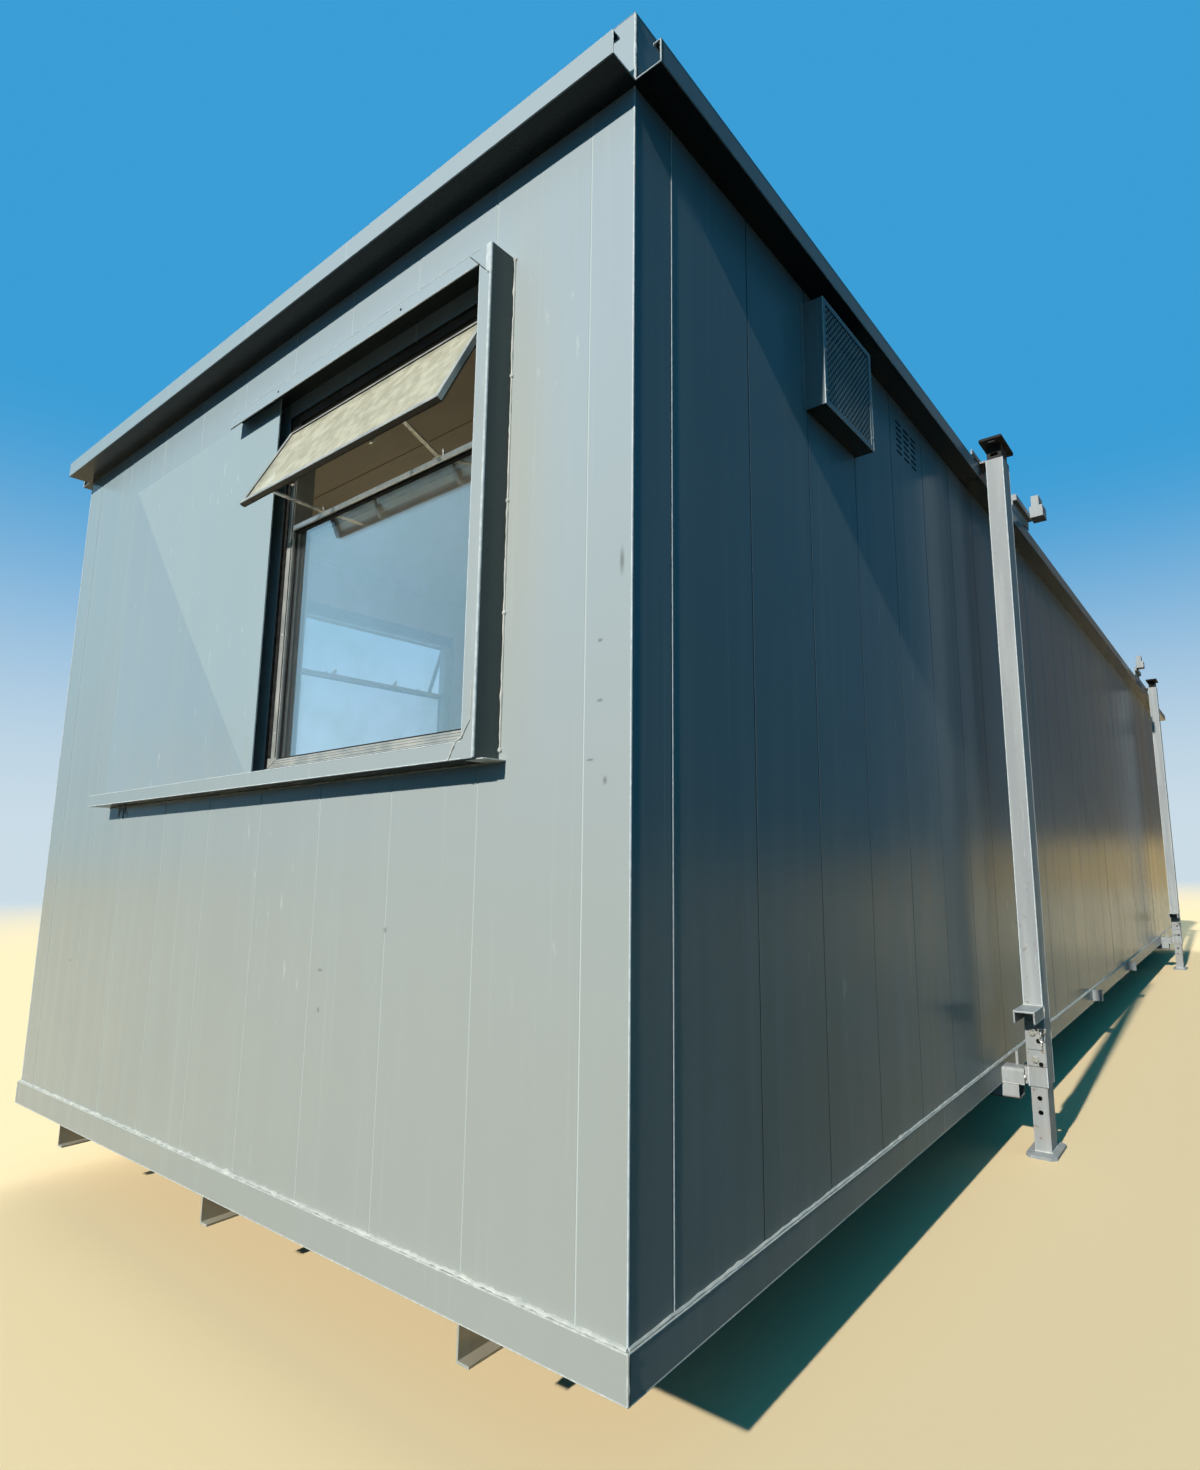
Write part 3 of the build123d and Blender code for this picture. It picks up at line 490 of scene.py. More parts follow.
@material
def base_steel(g):
    """Base rail under a film of pale dust with short runs. Faces that don't face the front get a warmer,
    lighter tone: painted ground light. Painted shade on faces turned downward.
    """
    front = g.to_front()
    film = g.noise(5.0, 6.0)
    # Warmer, lighter tone for the faces that don't face the front: dust plus painted light bounced from the
    # ground.
    plain = g.tone(film, 0.3, 0.7, (0.44, 0.39, 0.29), (0.56, 0.50, 0.37))
    front_dust_and_light = g.tone(film, 0.3, 0.7, (0.37, 0.385, 0.345), (0.43, 0.44, 0.395))
    g.paint = g.mix(front, plain, front_dust_and_light)
    g.lay(g.map(g.noise(1.0, 5.0, (34, 34, 5.0)), 0.5, 0.72, 0.0, 0.5), (0.56, 0.555, 0.50))
    g.lay(g.map(g.noise(46, 4.0), 0.69, 0.73), (0.20, 0.15, 0.11), 0.7)
    # Painted shade on faces turned downward.
    g.lay(g.downward_shade(), (0.04, 0.04, 0.036))
    g.surface(
        Roughness=g.map(film, 0.3, 0.7, 0.30, 0.46),
        Specular_IOR_Level=0.35,
        Metallic=g.map(front, 0.0, 1.0, 0.30, 0.0),
        Normal=g.bump(g.noise(200, 3.0), 0.2, 0.001),
    )


@material
def roof_paint(g):
    """Weathered coating on the roof sheet, with broad water marks."""
    marks = g.noise(1.6, 7.0, distortion=0.8)
    g.paint = g.tone(marks, 0.3, 0.7, (0.27, 0.30, 0.31), (0.40, 0.41, 0.39))
    g.lay(g.map(g.noise(22, 4.0), 0.60, 0.72, 0.0, 0.5), (0.20, 0.20, 0.17))
    g.surface(Roughness=0.68, Normal=g.bump(g.noise(60, 3.0), 0.2, 0.002))


@material
def lining(g):
    """Vinyl faced lining board with a faint fabric emboss."""
    weave = g.math("ADD", g.noise(300, 1.0, (1, 1, 6)), g.noise(300, 1.0, (6, 6, 1)))
    g.paint = g.tone(g.noise(1.1, 3.0), 0.3, 0.7, (0.46, 0.42, 0.36), (0.53, 0.49, 0.42))
    g.surface(Roughness=0.62, Normal=g.bump(weave, 0.15, 0.0008))


@material
def ceiling_lining(g):
    """Vinyl faced ceiling board, a little warmer than the walls."""
    g.paint = g.tone(g.noise(1.4, 3.0), 0.3, 0.7, (0.52, 0.48, 0.39), (0.60, 0.56, 0.46))
    g.surface(Roughness=0.7, Normal=g.bump(g.noise(240, 2.0), 0.15, 0.0006))


@material
def floor_board(g):
    """Flooring board with long grain."""
    grain = g.noise(1.0, 6.0, (60, 2.2, 60), 0.6)
    g.paint = g.tone(grain, 0.35, 0.7, (0.20, 0.14, 0.09), (0.34, 0.25, 0.17))
    g.surface(Roughness=0.6, Normal=g.bump(grain, 0.15, 0.0008))


@material
def window_aluminium(g):
    """Weathered mill-finish aluminium with fine die lines and dust, with painted shade above the window head
    and on faces turned downward.
    """
    lines = g.noise(1.0, 2.0, (900, 6, 900))
    dust = g.noise(18, 5.0)
    g.paint = g.tone(dust, 0.3, 0.75, (0.36, 0.37, 0.35), (0.48, 0.48, 0.44))
    # Painted shade above the window head, where the top rail shades the frame.
    g.lay(g.map(g.axis("Z"), WINDOW_HEAD - 0.004, WINDOW_HEAD + 0.002), (0.030, 0.032, 0.032))
    # Painted shade on faces turned downward.
    g.lay(g.map(g.facing("Z"), -0.5, -0.8), (0.020, 0.020, 0.020))
    g.surface(
        Metallic=g.map(dust, 0.3, 0.8, 0.35, 0.12),
        Roughness=g.map(dust, 0.3, 0.8, 0.38, 0.60),
        Specular_IOR_Level=0.2,
        Normal=g.bump(lines, 0.08, 0.0004),
    )


@material
def stay_steel(g):
    """Dull zinc plate."""
    spots = g.noise(90, 4.0)
    g.paint = g.tone(spots, 0.35, 0.7, (0.42, 0.42, 0.40), (0.62, 0.61, 0.57))
    g.surface(Metallic=0.9, Roughness=g.map(spots, 0.3, 0.7, 0.32, 0.55))


@material
def clear_glass(g):
    """Clear pane with a sheen and a thin uneven film of dust."""
    film = g.map(g.noise(7.0, 6.0), 0.35, 0.75)
    slant = g.new("Fresnel", IOR=1.5).outputs[0]
    mirror = g.map(slant, 0.035, 0.115, 0.07, 0.40)
    g.paint = g.mix(film, (0.92, 0.97, 1.0), (0.80, 0.86, 0.84))
    g.surface(
        Metallic=0.95,
        Roughness=g.map(film, 0.0, 1.0, 0.01, 0.06),
        Alpha=g.math("ADD", mirror, g.map(film, 0.0, 1.0, 0.0, 0.06)),
    )


@material
def dusty_glass(g):
    """Obscured glass under a coat of dust. The left window's vent glass is washed nearly clear."""
    film = g.noise(26, 6.0)
    streaks = g.map(g.noise(1.0, 5.0, (4, 40, 40), 0.4), 0.35, 0.75)
    washed = g.map(g.axis("X"), -1.38, -1.42)
    g.paint = g.tone(film, 0.3, 0.7, (0.62, 0.595, 0.45), (0.74, 0.715, 0.57))
    g.lay(streaks, (0.44, 0.42, 0.31), 0.4)
    g.lay(washed, (0.50, 0.56, 0.56))
    coat = g.map(film, 0.3, 0.7, 0.48, 0.60)
    g.surface(
        Roughness=g.map(film, 0.3, 0.7, 0.45, 0.70),
        Specular_IOR_Level=0.1,
        Alpha=g.times(coat, g.map(washed, 0.0, 1.0, 1.0, 0.16)),
        Normal=g.bump(g.noise(160, 2.0), 0.25, 0.001),
    )


def plain_coat(name, colour, colour_high, roughness, metallic=0.0, grain=60.0):
    """Simple coat for the small parts, with a slight change of tone."""
    g = Graph(name)
    g.paint = g.tone(g.noise(grain, 4.0), 0.35, 0.7, colour, colour_high)
    g.surface(Roughness=roughness, Metallic=metallic, Specular_IOR_Level=0.12)
    return g.material


# Pale strips along edges, corners and cut ends: painted highlights.
edge_highlight = plain_coat("edge_highlight", (0.52, 0.58, 0.59), (0.68, 0.73, 0.73), 0.42)
weld_coat = plain_coat("weld_coat", (0.44, 0.46, 0.43), (0.60, 0.61, 0.56), 0.50)
# Black for the seals, also for the strips of painted shade in the windows.
rubber = plain_coat("rubber", (0.010, 0.010, 0.010), (0.030, 0.030, 0.028), 0.62)
sealant = plain_coat("sealant", (0.44, 0.46, 0.43), (0.62, 0.62, 0.57), 0.55, 0.0, 30.0)
hole_black = plain_coat("hole_black", (0.004, 0.004, 0.004), (0.010, 0.010, 0.010), 0.80)
# Near-white coat for the transom bead: painted sunlight where the vent shades it.
sunlit_look_metal = plain_coat("sunlit_look_metal", (0.80, 0.82, 0.80), (0.90, 0.91, 0.88), 0.36, 0.3)
bright_zinc = plain_coat("bright_zinc", (0.50, 0.50, 0.47), (0.70, 0.69, 0.65), 0.38, 0.7)
frame_paint = plain_coat("frame_paint", (0.24, 0.30, 0.32), (0.30, 0.36, 0.38), 0.46, 0.0, 9.0)
REPAINTED = {"front_shutter": "shutter_paint", "left_shutter": "shutter_paint"}


def dress_nodes():
    """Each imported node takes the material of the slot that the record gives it, shutters their own."""
    for name, piece in nodes.items():
        slot = piece.material_slots[0].material.name.split(".")[0] if piece.material_slots else None
        if slot in materials:
            piece.material_slots[0].material = materials[REPAINTED.get(name, slot)]


dress_nodes()


# Small parts, each a mesh built here from a few kinds of solid
class Place:
    """A face's own axes: right, up and out, as someone in front of it sees them."""

    def __init__(self, origin, right, out):
        self.origin = Vector(origin)
        self.right = Vector(right).normalized()
        self.out = Vector(out).normalized()
        self.up = self.out.cross(self.right)

    def point(self, u, v, w):
        return self.origin + u * self.right + v * self.up + w * self.out

    def along(self, u, v, w):
        """The same axes with the origin moved."""
        return Place(self.point(u, v, w), self.right, self.out)


class Shape:
    """Gathers solids, and makes one piece of them."""

    def __init__(self):
        self.points = []
        self.faces = []

    def add(self, points, faces):
        start = len(self.points)
        self.points.extend(points)
        self.faces.extend(tuple(start + index for index in face) for face in faces)

    def bar(self, place, u, v, w, ease=0.0008):
        """Block between three (low, high) pairs, with its twelve edges eased."""
        spans = (u, v, w)
        ease = min([ease] + [(high - low) / 3 for low, high in spans])
        corners = [(a, b, c) for a in (0, 1) for b in (0, 1) for c in (0, 1)]
        number = {}
        points = []
        for corner in corners:
            for axis in range(3):
                spot = []
                for other, (low, high) in enumerate(spans):
                    inset = 0 if other == axis else ease
                    spot.append(high - inset if corner[other] else low + inset)
                number[corner, axis] = len(points)
                points.append(place.point(*spot))
        faces = [tuple(number[corner, axis] for axis in range(3)) for corner in corners]

        def at(axis, side, a, b):
            """The block's corner with one axis at a side and the other two at a and b."""
            corner = [a, b]
            corner.insert(axis, side)
            return tuple(corner)

        for axis in range(3):
            first, second = [other for other in range(3) if other != axis]
            for side in (0, 1):
                ring = [at(axis, side, a, b) for a, b in ((0, 0), (0, 1), (1, 1), (1, 0))]
                faces.append(tuple(number[corner, axis] for corner in ring))
            for a in (0, 1):
                for b in (0, 1):
                    near, far = at(axis, 0, a, b), at(axis, 1, a, b)
                    ring = ((near, first), (far, first), (far, second), (near, second))
                    faces.append(tuple(number[pair] for pair in ring))
        self.add(points, faces)

    def sweep(self, points, sides):
        """Closed skin over rings of points that follow each other."""
        faces = [tuple(range(sides)), tuple(range(len(points) - sides, len(points)))]
        for ring in range(0, len(points) - sides, sides):
            for step in range(sides):
                a = ring + step
                b = ring + (step + 1) % sides
                faces.append((a, b, b + sides, a + sides))
        self.add(points, faces)

    def tube(self, path, radius, sides=6):
        """Round bar along a path. The radius may be a list with one for each point."""
        radii = radius if isinstance(radius, list) else [radius] * len(path)
        across = (path[1] - path[0]).orthogonal().normalized()
        points = []
        for index, point in enumerate(path):
            ahead = path[min(index + 1, len(path) - 1)] - path[max(index - 1, 0)]
            ahead.normalize()
            across = (across - across.dot(ahead) * ahead).normalized()
            other = ahead.cross(across)
            for step in range(sides):
                angle = 2 * math.pi * (step + 0.5) / sides
                offset = math.cos(angle) * across + math.sin(angle) * other
                points.append(point + radii[index] * offset)
        self.sweep(points, sides)

    def line(self, start, end, radius, sides=6):
        self.tube([Vector(start), Vector(end)], radius, sides)

    def rod(self, place, start, end, radius, sides=6):
        """Line between two points on a place."""
        self.line(place.point(*start), place.point(*end), radius, sides)

    def rim(self, place, u, v, w, radius, u_reach=None, v_reach=None):
        """Lines at two u and two v. Each pair ends at the other one, unless its own reach is given."""
        low, high = v_reach or v
        for spot in u:
            self.rod(place, (spot, low, w), (spot, high, w), radius)
        low, high = u_reach or u
        for spot in v:
            self.rod(place, (low, spot, w), (high, spot, w), radius)

    def weld(self, start, end, radius, step=0.012, blobs=0.05, waver=0.12):
        """Hand-run bead of uneven thickness, with a blob here and there."""
        start, end = Vector(start), Vector(end)
        count = max(3, round((end - start).length / step))
        path = []
        radii = []
        for index in range(count + 1):
            stray = Vector([chance.uniform(-1, 1) for _ in range(3)]) * radius * waver
            path.append(start.lerp(end, index / count) + stray)
            radii.append(radius * chance.uniform(0.75, 1.1) * (1.7 if chance.random() < blobs else 1.0))
        self.tube(path, radii)

    def bead(self, place, start, end, radius, *manner):
        """Weld between two points on a place."""
        self.weld(place.point(*start), place.point(*end), radius, *manner)

    def run(self, start, shift, radius, step):
        """Weld from a point over a shift."""
        self.weld(start, Vector(start) + Vector(shift), radius, step)

    def turned(self, place, profile, sides=12, turn=0.0):
        """Solid of revolution on a place's origin, from (radius, height) pairs, first to last."""
        points = []
        for radius, height in profile:
            for step in range(sides):
                angle = 2 * math.pi * step / sides + turn
                points.append(place.point(radius * math.cos(angle), radius * math.sin(angle), height))
        self.sweep(points, sides)

    def bolt(self, place, across, head, washer, sunk=0.001):
        """Hexagon head with a chamfered top, on a round washer."""
        self.turned(place, [(washer, -sunk), (washer, 0.0018), (washer - 0.0005, 0.0022)], 18)
        base = 0.002
        radius = across / 2 / math.cos(math.pi / 6)
        turn = chance.uniform(0, math.pi / 3)
        profile = [(radius, base - sunk), (radius, base + head * 0.8), (radius * 0.86, base + head)]
        self.turned(place, profile, 6, turn)

    def screw(self, place, radius, head, sunk=0.0005):
        """Low domed head."""
        dome = [(radius, head * 0.35), (radius * 0.8, head * 0.8), (radius * 0.4, head)]
        self.turned(place, [(radius, -sunk), *dome], 10)

    def ring(self, centre, across, up, reach, radius, start=0.0, end=360.0, steps=16):
        """Round bar bent to an arc."""
        path = []
        for index in range(steps + 1):
            angle = math.radians(start + (end - start) * index / steps)
            path.append(centre + reach * (math.cos(angle) * across + math.sin(angle) * up))
        self.tube(path, radius, 8)

    def finish(self, name, slot, material=None, body="cabin"):
        mesh = bpy.data.meshes.new(name)
        mesh.from_pydata([tuple(point) for point in self.points], [], self.faces)
        shell = bmesh.new()
        shell.from_mesh(mesh)
        bmesh.ops.recalc_face_normals(shell, faces=shell.faces)
        shell.to_mesh(mesh)
        shell.free()
        mesh.shade_smooth()
        mesh.set_sharp_from_angle(angle=math.radians(38))
        mesh.materials.append(material or materials[slot])
        piece = bpy.data.objects.new(name, mesh)
        scene.collection.objects.link(piece)
        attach(piece, body)
        return piece


def front_place(x, y, z):
    return Place((x, y, z), (1, 0, 0), (0, -1, 0))


def right_place(x, y, z):
    return Place((x, y, z), (0, 1, 0), (1, 0, 0))


def left_place(y, z):
    return Place((-FACE_X, y, z), (0, -1, 0), (-1, 0, 0))


def top_place(x, y, z):
    """Seen from above, with u, v and w along X, Y and Z."""
    return Place((x, y, z), (1, 0, 0), (0, 0, 1))


FRONT = front_place(0, FACE_Y, 0)
BACK = Place((0, BACK_FACE_Y, 0), (-1, 0, 0), (0, 1, 0))
RIGHT = right_place(FACE_X, 0, 0)
LEFT = left_place(0, 0)


# Base: sealant beads where the cladding meets the rail, and welds at the rail's joints
def dress_base():
    beads = Shape()
    height = RAIL_TOP + 0.0015
    for place, low, high, step in (
        (FRONT, -FACE_X, FACE_X, 0.011),
        (BACK, -FACE_X, FACE_X, 0.016),
        (RIGHT, FRONT_Y + RECESS, BACK_Y - RECESS, 0.016),
        (LEFT, -BACK_Y + RECESS, -FRONT_Y - RECESS, 0.016),
    ):
        beads.bead(place, (low, height, 0.0015), (high, height, 0.0015), 0.0042, step, 0.045, 0.25)
    beads.finish("base_sealant", "base_steel", sealant)

    edges = Shape()
    inset = 0.0012
    x, front, back = EDGE_X - inset, FRONT_Y + inset, BACK_Y - inset
    for z in (RAIL_TOP - inset, RAIL_LOW + inset):
        edges.rim(top_place(0, 0, z), (-x, x), (front, back), 0, 0.0019)
    for x, y, inward in CORNERS:
        foot = (x * (EDGE_X - 0.001), y + inward * 0.001, RAIL_LOW + 0.001)
        edges.run(foot, (0, 0, RAIL_TOP - RAIL_LOW - 0.002), 0.0026, 0.008)
    edges.finish("base_rail_edges", "base_steel", weld_coat)


# Roof edge and gutters: folded lips, cut ends and the corner joints
def gutter_path(outer, out, y, along_x):
    """The gutter's outline at one end, as points."""
    reach = GUTTER_X - EDGE_X
    inset = 0.0020
    outline = [
        (outer + out * inset, SOFFIT + 0.034),
        (outer + out * inset, SOFFIT + inset),
        (outer + out * (reach - inset), SOFFIT + inset),
        (outer + out * (reach - inset), GUTTER_TOP - inset),
        (outer + out * (reach - GUTTER_LIP), GUTTER_TOP - inset),
    ]
    return [Vector((y, across, up) if along_x else (across, y, up)) for across, up in outline]


def gutter_lines(inset):
    """A gutter's lip and outer edges, as (distance in from its face, height, radius)."""
    edge = 0.0014
    return (
        (GUTTER_LIP, GUTTER_TOP - 0.0015, 0.0026),
        (inset, GUTTER_TOP - edge, 0.0018),
        (inset, SOFFIT + edge, 0.0018),
    )


def dress_gutters():
    cuts = Shape()
    lips = Shape()
    for side, y, inward in CORNERS:
        cuts.tube(gutter_path(side * EDGE_X, side, y, False), 0.0019)
        cuts.tube(gutter_path(y, -inward, side * EDGE_X, True), 0.0019)
    for side in SIDES:
        for inset, z, radius in gutter_lines(0.0014):
            x = side * (GUTTER_X - inset)
            lips.line((x, FRONT_Y, z), (x, BACK_Y, z), radius)
    for outer, inward in ENDS:
        far = outer - inward * (FRONT_Y - END_GUTTER_Y)
        for inset, z, radius in gutter_lines(0.0020):
            y = far + inward * inset
            lips.line((-EDGE_X, y, z), (EDGE_X, y, z), radius)
    # The cut ends are pale strips: painted highlights.
    cuts.finish("gutter_cut_ends", "body_paint", edge_highlight)
    lips.finish("gutter_lips", "body_paint", frame_paint)


def dress_roof_edge():
    # Pale strips up the corners and joints: painted highlights.
    corners = Shape()
    for x, y, inward in CORNERS:
        fold = (x * (EDGE_X - 0.0015), y + inward * 0.0015)
        corners.weld((*fold, SOFFIT + 0.004), (*fold, ROOF_EDGE_TOP - 0.002), 0.0030, 0.010, 0.08)
        post = (x * (FACE_X - 0.0010), y + inward * (RECESS + 0.0010))
        corners.line((*post, RAIL_TOP), (*post, SOFFIT), 0.0021)
        seam = (x * (FACE_X - 0.0006), y + inward * (SIDE_SEAM - FRONT_Y + 0.0030))
        corners.line((*seam, RAIL_TOP), (*seam, SOFFIT), 0.0016)
    corners.finish("corner_edges", "body_paint", edge_highlight)

    joints = Shape()
    top = ROOF_EDGE_TOP - 0.0012
    for x in SIDES:
        edge = x * (EDGE_X - 0.0012)
        joints.line((edge, FRONT_Y, top), (edge, BACK_Y, top), 0.0018)
        for k in range(1, 4):
            y = FRONT_Y + (BACK_Y - FRONT_Y) * k / 4
            joints.line((x * EDGE_X, y, SOFFIT + 0.036), (x * EDGE_X, y, top), 0.0014)
    for y, inward in ENDS:
        edge = y + inward * 0.0012
        joints.line((-EDGE_X, edge, top), (EDGE_X, edge, top), 0.0018)
    joints.finish("roof_edge_lines", "body_paint", frame_paint)


# Windows: seals, black strips of painted shade, screws and furniture on each one
HALF_WINDOW = 0.4575
CLEAR = 0.4095
CLEAR_LOW = 0.024
WINDOW_TALL = 1.050
TRANSOM = (0.686, 0.702)
FRAME_OUT = -0.008
PANE_OUT = -0.018
SASH_HALF = 0.440
SASH_DROP = 0.301
SASH_ANGLE = math.radians(24.4)
SASH_HINGE = (0.998, -0.0021)


def middle(name):
    """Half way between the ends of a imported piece's box."""
    low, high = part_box(name)
    return (Vector(low) + Vector(high)) / 2


windows = {
    "front": front_place(middle("front_window_frame").x, FACE_Y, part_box("front_window_frame")[0][2]),
    "left": left_place(middle("left_window_frame").y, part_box("left_window_frame")[0][2]),
}


def sash_place(window):
    """The open vent's own axes, with the origin on its hinge line."""
    out = math.cos(SASH_ANGLE) * window.out + math.sin(SASH_ANGLE) * window.up
    return Place(window.point(0, *SASH_HINGE), window.right, out)


def dress_seals_and_shade_strips(side, window, sash):
    seals_and_shade_strips = Shape()
    low, high = CLEAR_LOW, TRANSOM[0]
    wide = 0.0055
    pane = (PANE_OUT, PANE_OUT + 0.0035)
    slot = (0.03, 1.02)
    for u, v, w, ease in (
        ((-CLEAR, -CLEAR + wide), (low, high), pane, 0.0012),
        ((CLEAR - wide, CLEAR), (low, high), pane, 0.0012),
        ((-CLEAR + wide, CLEAR - wide), (low, low + wide), pane, 0.0012),
        ((-CLEAR + wide, CLEAR - wide), (high - wide - 0.001, high), pane, 0.0012),
        # Black strips under the window head and on the left frame member: painted shade from the top rail
        # and the shutter.
        ((-CLEAR, CLEAR), (1.0005, 1.0225), (FRAME_OUT - 0.009, FRAME_OUT - 0.0065), 0.001),
        ((-HALF_WINDOW + 0.001, -HALF_WINDOW + 0.018), slot, (FRAME_OUT, FRAME_OUT + 0.0012), 0.0008),
        ((-CLEAR - 0.0090, -CLEAR - 0.0005), slot, (FRAME_OUT - 0.001, FRAME_OUT + 0.0008), 0.0008),
        ((-HALF_WINDOW, HALF_WINDOW), (-0.0035, -0.0008), (-0.006, 0.0006), 0.0005),
    ):
        seals_and_shade_strips.bar(window, u, v, w, ease)
    for u in (-HALF_WINDOW - 0.0006, HALF_WINDOW - 0.0012):
        seals_and_shade_strips.bar(window, (u, u + 0.0018), (0.0, WINDOW_TALL), (-0.007, 0.0004), 0.0004)
    # Black bars behind the vent's sides and bottom: painted shade on its underside.
    inner = SASH_HALF - 0.017
    bottom = 0.001 - SASH_DROP
    for u, v in (
        ((inner, SASH_HALF - 0.001), (bottom, -0.004)),
        ((0.001 - SASH_HALF, -inner), (bottom, -0.004)),
        ((-inner, inner), (bottom, bottom + 0.015)),
    ):
        seals_and_shade_strips.bar(sash, u, v, (-0.0095, -0.0055), 0.0012)
    inner = SASH_HALF - 0.016
    reach = (-0.017, 0.016 - SASH_DROP)
    seals_and_shade_strips.rim(sash, (-inner, inner), (-0.017, 0.0165 - SASH_DROP), 0.0035, 0.0016, v_reach=reach)
    for x in SIDES:
        for outer, inner in ((0.0, CLEAR_LOW), (WINDOW_TALL, WINDOW_TALL - CLEAR_LOW)):
            seals_and_shade_strips.rod(window, (x * HALF_WINDOW, outer, FRAME_OUT), (x * CLEAR, inner, FRAME_OUT), 0.0006)
    seals_and_shade_strips.finish(f"{side}_window_seals_and_shade_strips", "dark_steel", rubber)


def dress_ribs(side, window, sash):
    # Near-white bead on the transom: painted sunlight.
    pale = Shape()
    bead = (TRANSOM[0] + 0.001, TRANSOM[1] + 0.0006)
    pale.bar(window, (-CLEAR, CLEAR), bead, (FRAME_OUT - 0.004, FRAME_OUT + 0.0024), 0.0016)
    pale.finish(f"{side}_transom_bead", "window_aluminium", sunlit_look_metal)

    ribs = Shape()
    for u, v, w, radius in (
        (HALF_WINDOW - 0.03, 0.006, FRAME_OUT, 0.0009),
        (HALF_WINDOW - 0.03, 0.013, FRAME_OUT, 0.0009),
        (HALF_WINDOW - 0.03, 0.0195, FRAME_OUT, 0.0009),
        (CLEAR, 1.0255, FRAME_OUT - 0.006, 0.0016),
    ):
        ribs.rod(window, (-u, v, w), (u, v, w), radius)
    for u in (-CLEAR - 0.0015, CLEAR + 0.0015, -HALF_WINDOW + 0.022, HALF_WINDOW - 0.022):
        ribs.rod(window, (u, 0.026, FRAME_OUT), (u, 1.024, FRAME_OUT), 0.0012)
    half = SASH_HALF - 0.002
    reach = (-0.002, 0.003 - SASH_DROP)
    ribs.rim(sash, (-half, half), (-0.002, 0.0034 - SASH_DROP), 0.0054, 0.0012, v_reach=reach)
    ribs.finish(f"{side}_window_ribs", "window_aluminium")


def dress_furniture(side, window, sash):
    """Screws in the frame, two latches on the vent, and the plates and pins of its stays."""
    metal = Shape()
    for k in range(-3, 4):
        metal.screw(window.along(k * 0.125, 1.0115, FRAME_OUT - 0.0068), 0.0032, 0.0018)
    for u in (-HALF_WINDOW + 0.030, HALF_WINDOW - 0.030):
        for v in (0.10, 0.38, 0.66, 0.92):
            metal.screw(window.along(u, v, FRAME_OUT), 0.0030, 0.0014)
    for u in (-0.196, 0.160):
        metal.bar(sash, (u - 0.013, u + 0.013), (-0.287, -0.262), (-0.0135, -0.0055), 0.0012)
        metal.bar(sash, (u - 0.006, u + 0.006), (-0.300, -0.246), (-0.0185, -0.0130), 0.0012)
        metal.turned(sash.along(u, -0.262, -0.0205), [(0.005, 0.0), (0.005, 0.004), (0.003, 0.006)], 12)
    pin = [(0.0035, 0.0), (0.0035, 0.016), (0.0048, 0.017), (0.0040, 0.020)]
    for sign in SIDES:
        plate = Place(window.point(sign * 0.255, TRANSOM[1] + 0.001, -0.016), window.right, window.up)
        metal.bar(plate, (-0.016, 0.016), (-0.012, 0.012), (-0.0010, 0.0014), 0.0006)
        metal.turned(plate.along(0.012 * sign, 0.0, 0.0010), pin, 12)
        head = sash.along(sign * 0.295, 0.008 - SASH_DROP, -0.006)
        metal.bar(head, (-0.018, 0.018), (-0.006, 0.006), (-0.0022, 0.0004), 0.0006)
        metal.screw(Place(head.point(sign * 0.010, 0, -0.0020), sash.right, -sash.out), 0.0030, 0.0018)
    metal.finish(f"{side}_window_furniture", "stay_steel", bright_zinc)


# Shutter frames: the sealant beside the jamb, the painted highlight on the corner, the mitre and the welds
JAMB = (0.485, 0.523)
JAMB_SEALANT = 0.5262
SHUTTER_OUT = 0.066
SHUTTER_LOW = -0.056
SHUTTER_HIGH = 1.103
SILL_END = -1.525
TOP_END = -0.692
BARS = ((TOP_END, SHUTTER_HIGH, 1), (SILL_END, SHUTTER_LOW, -1))


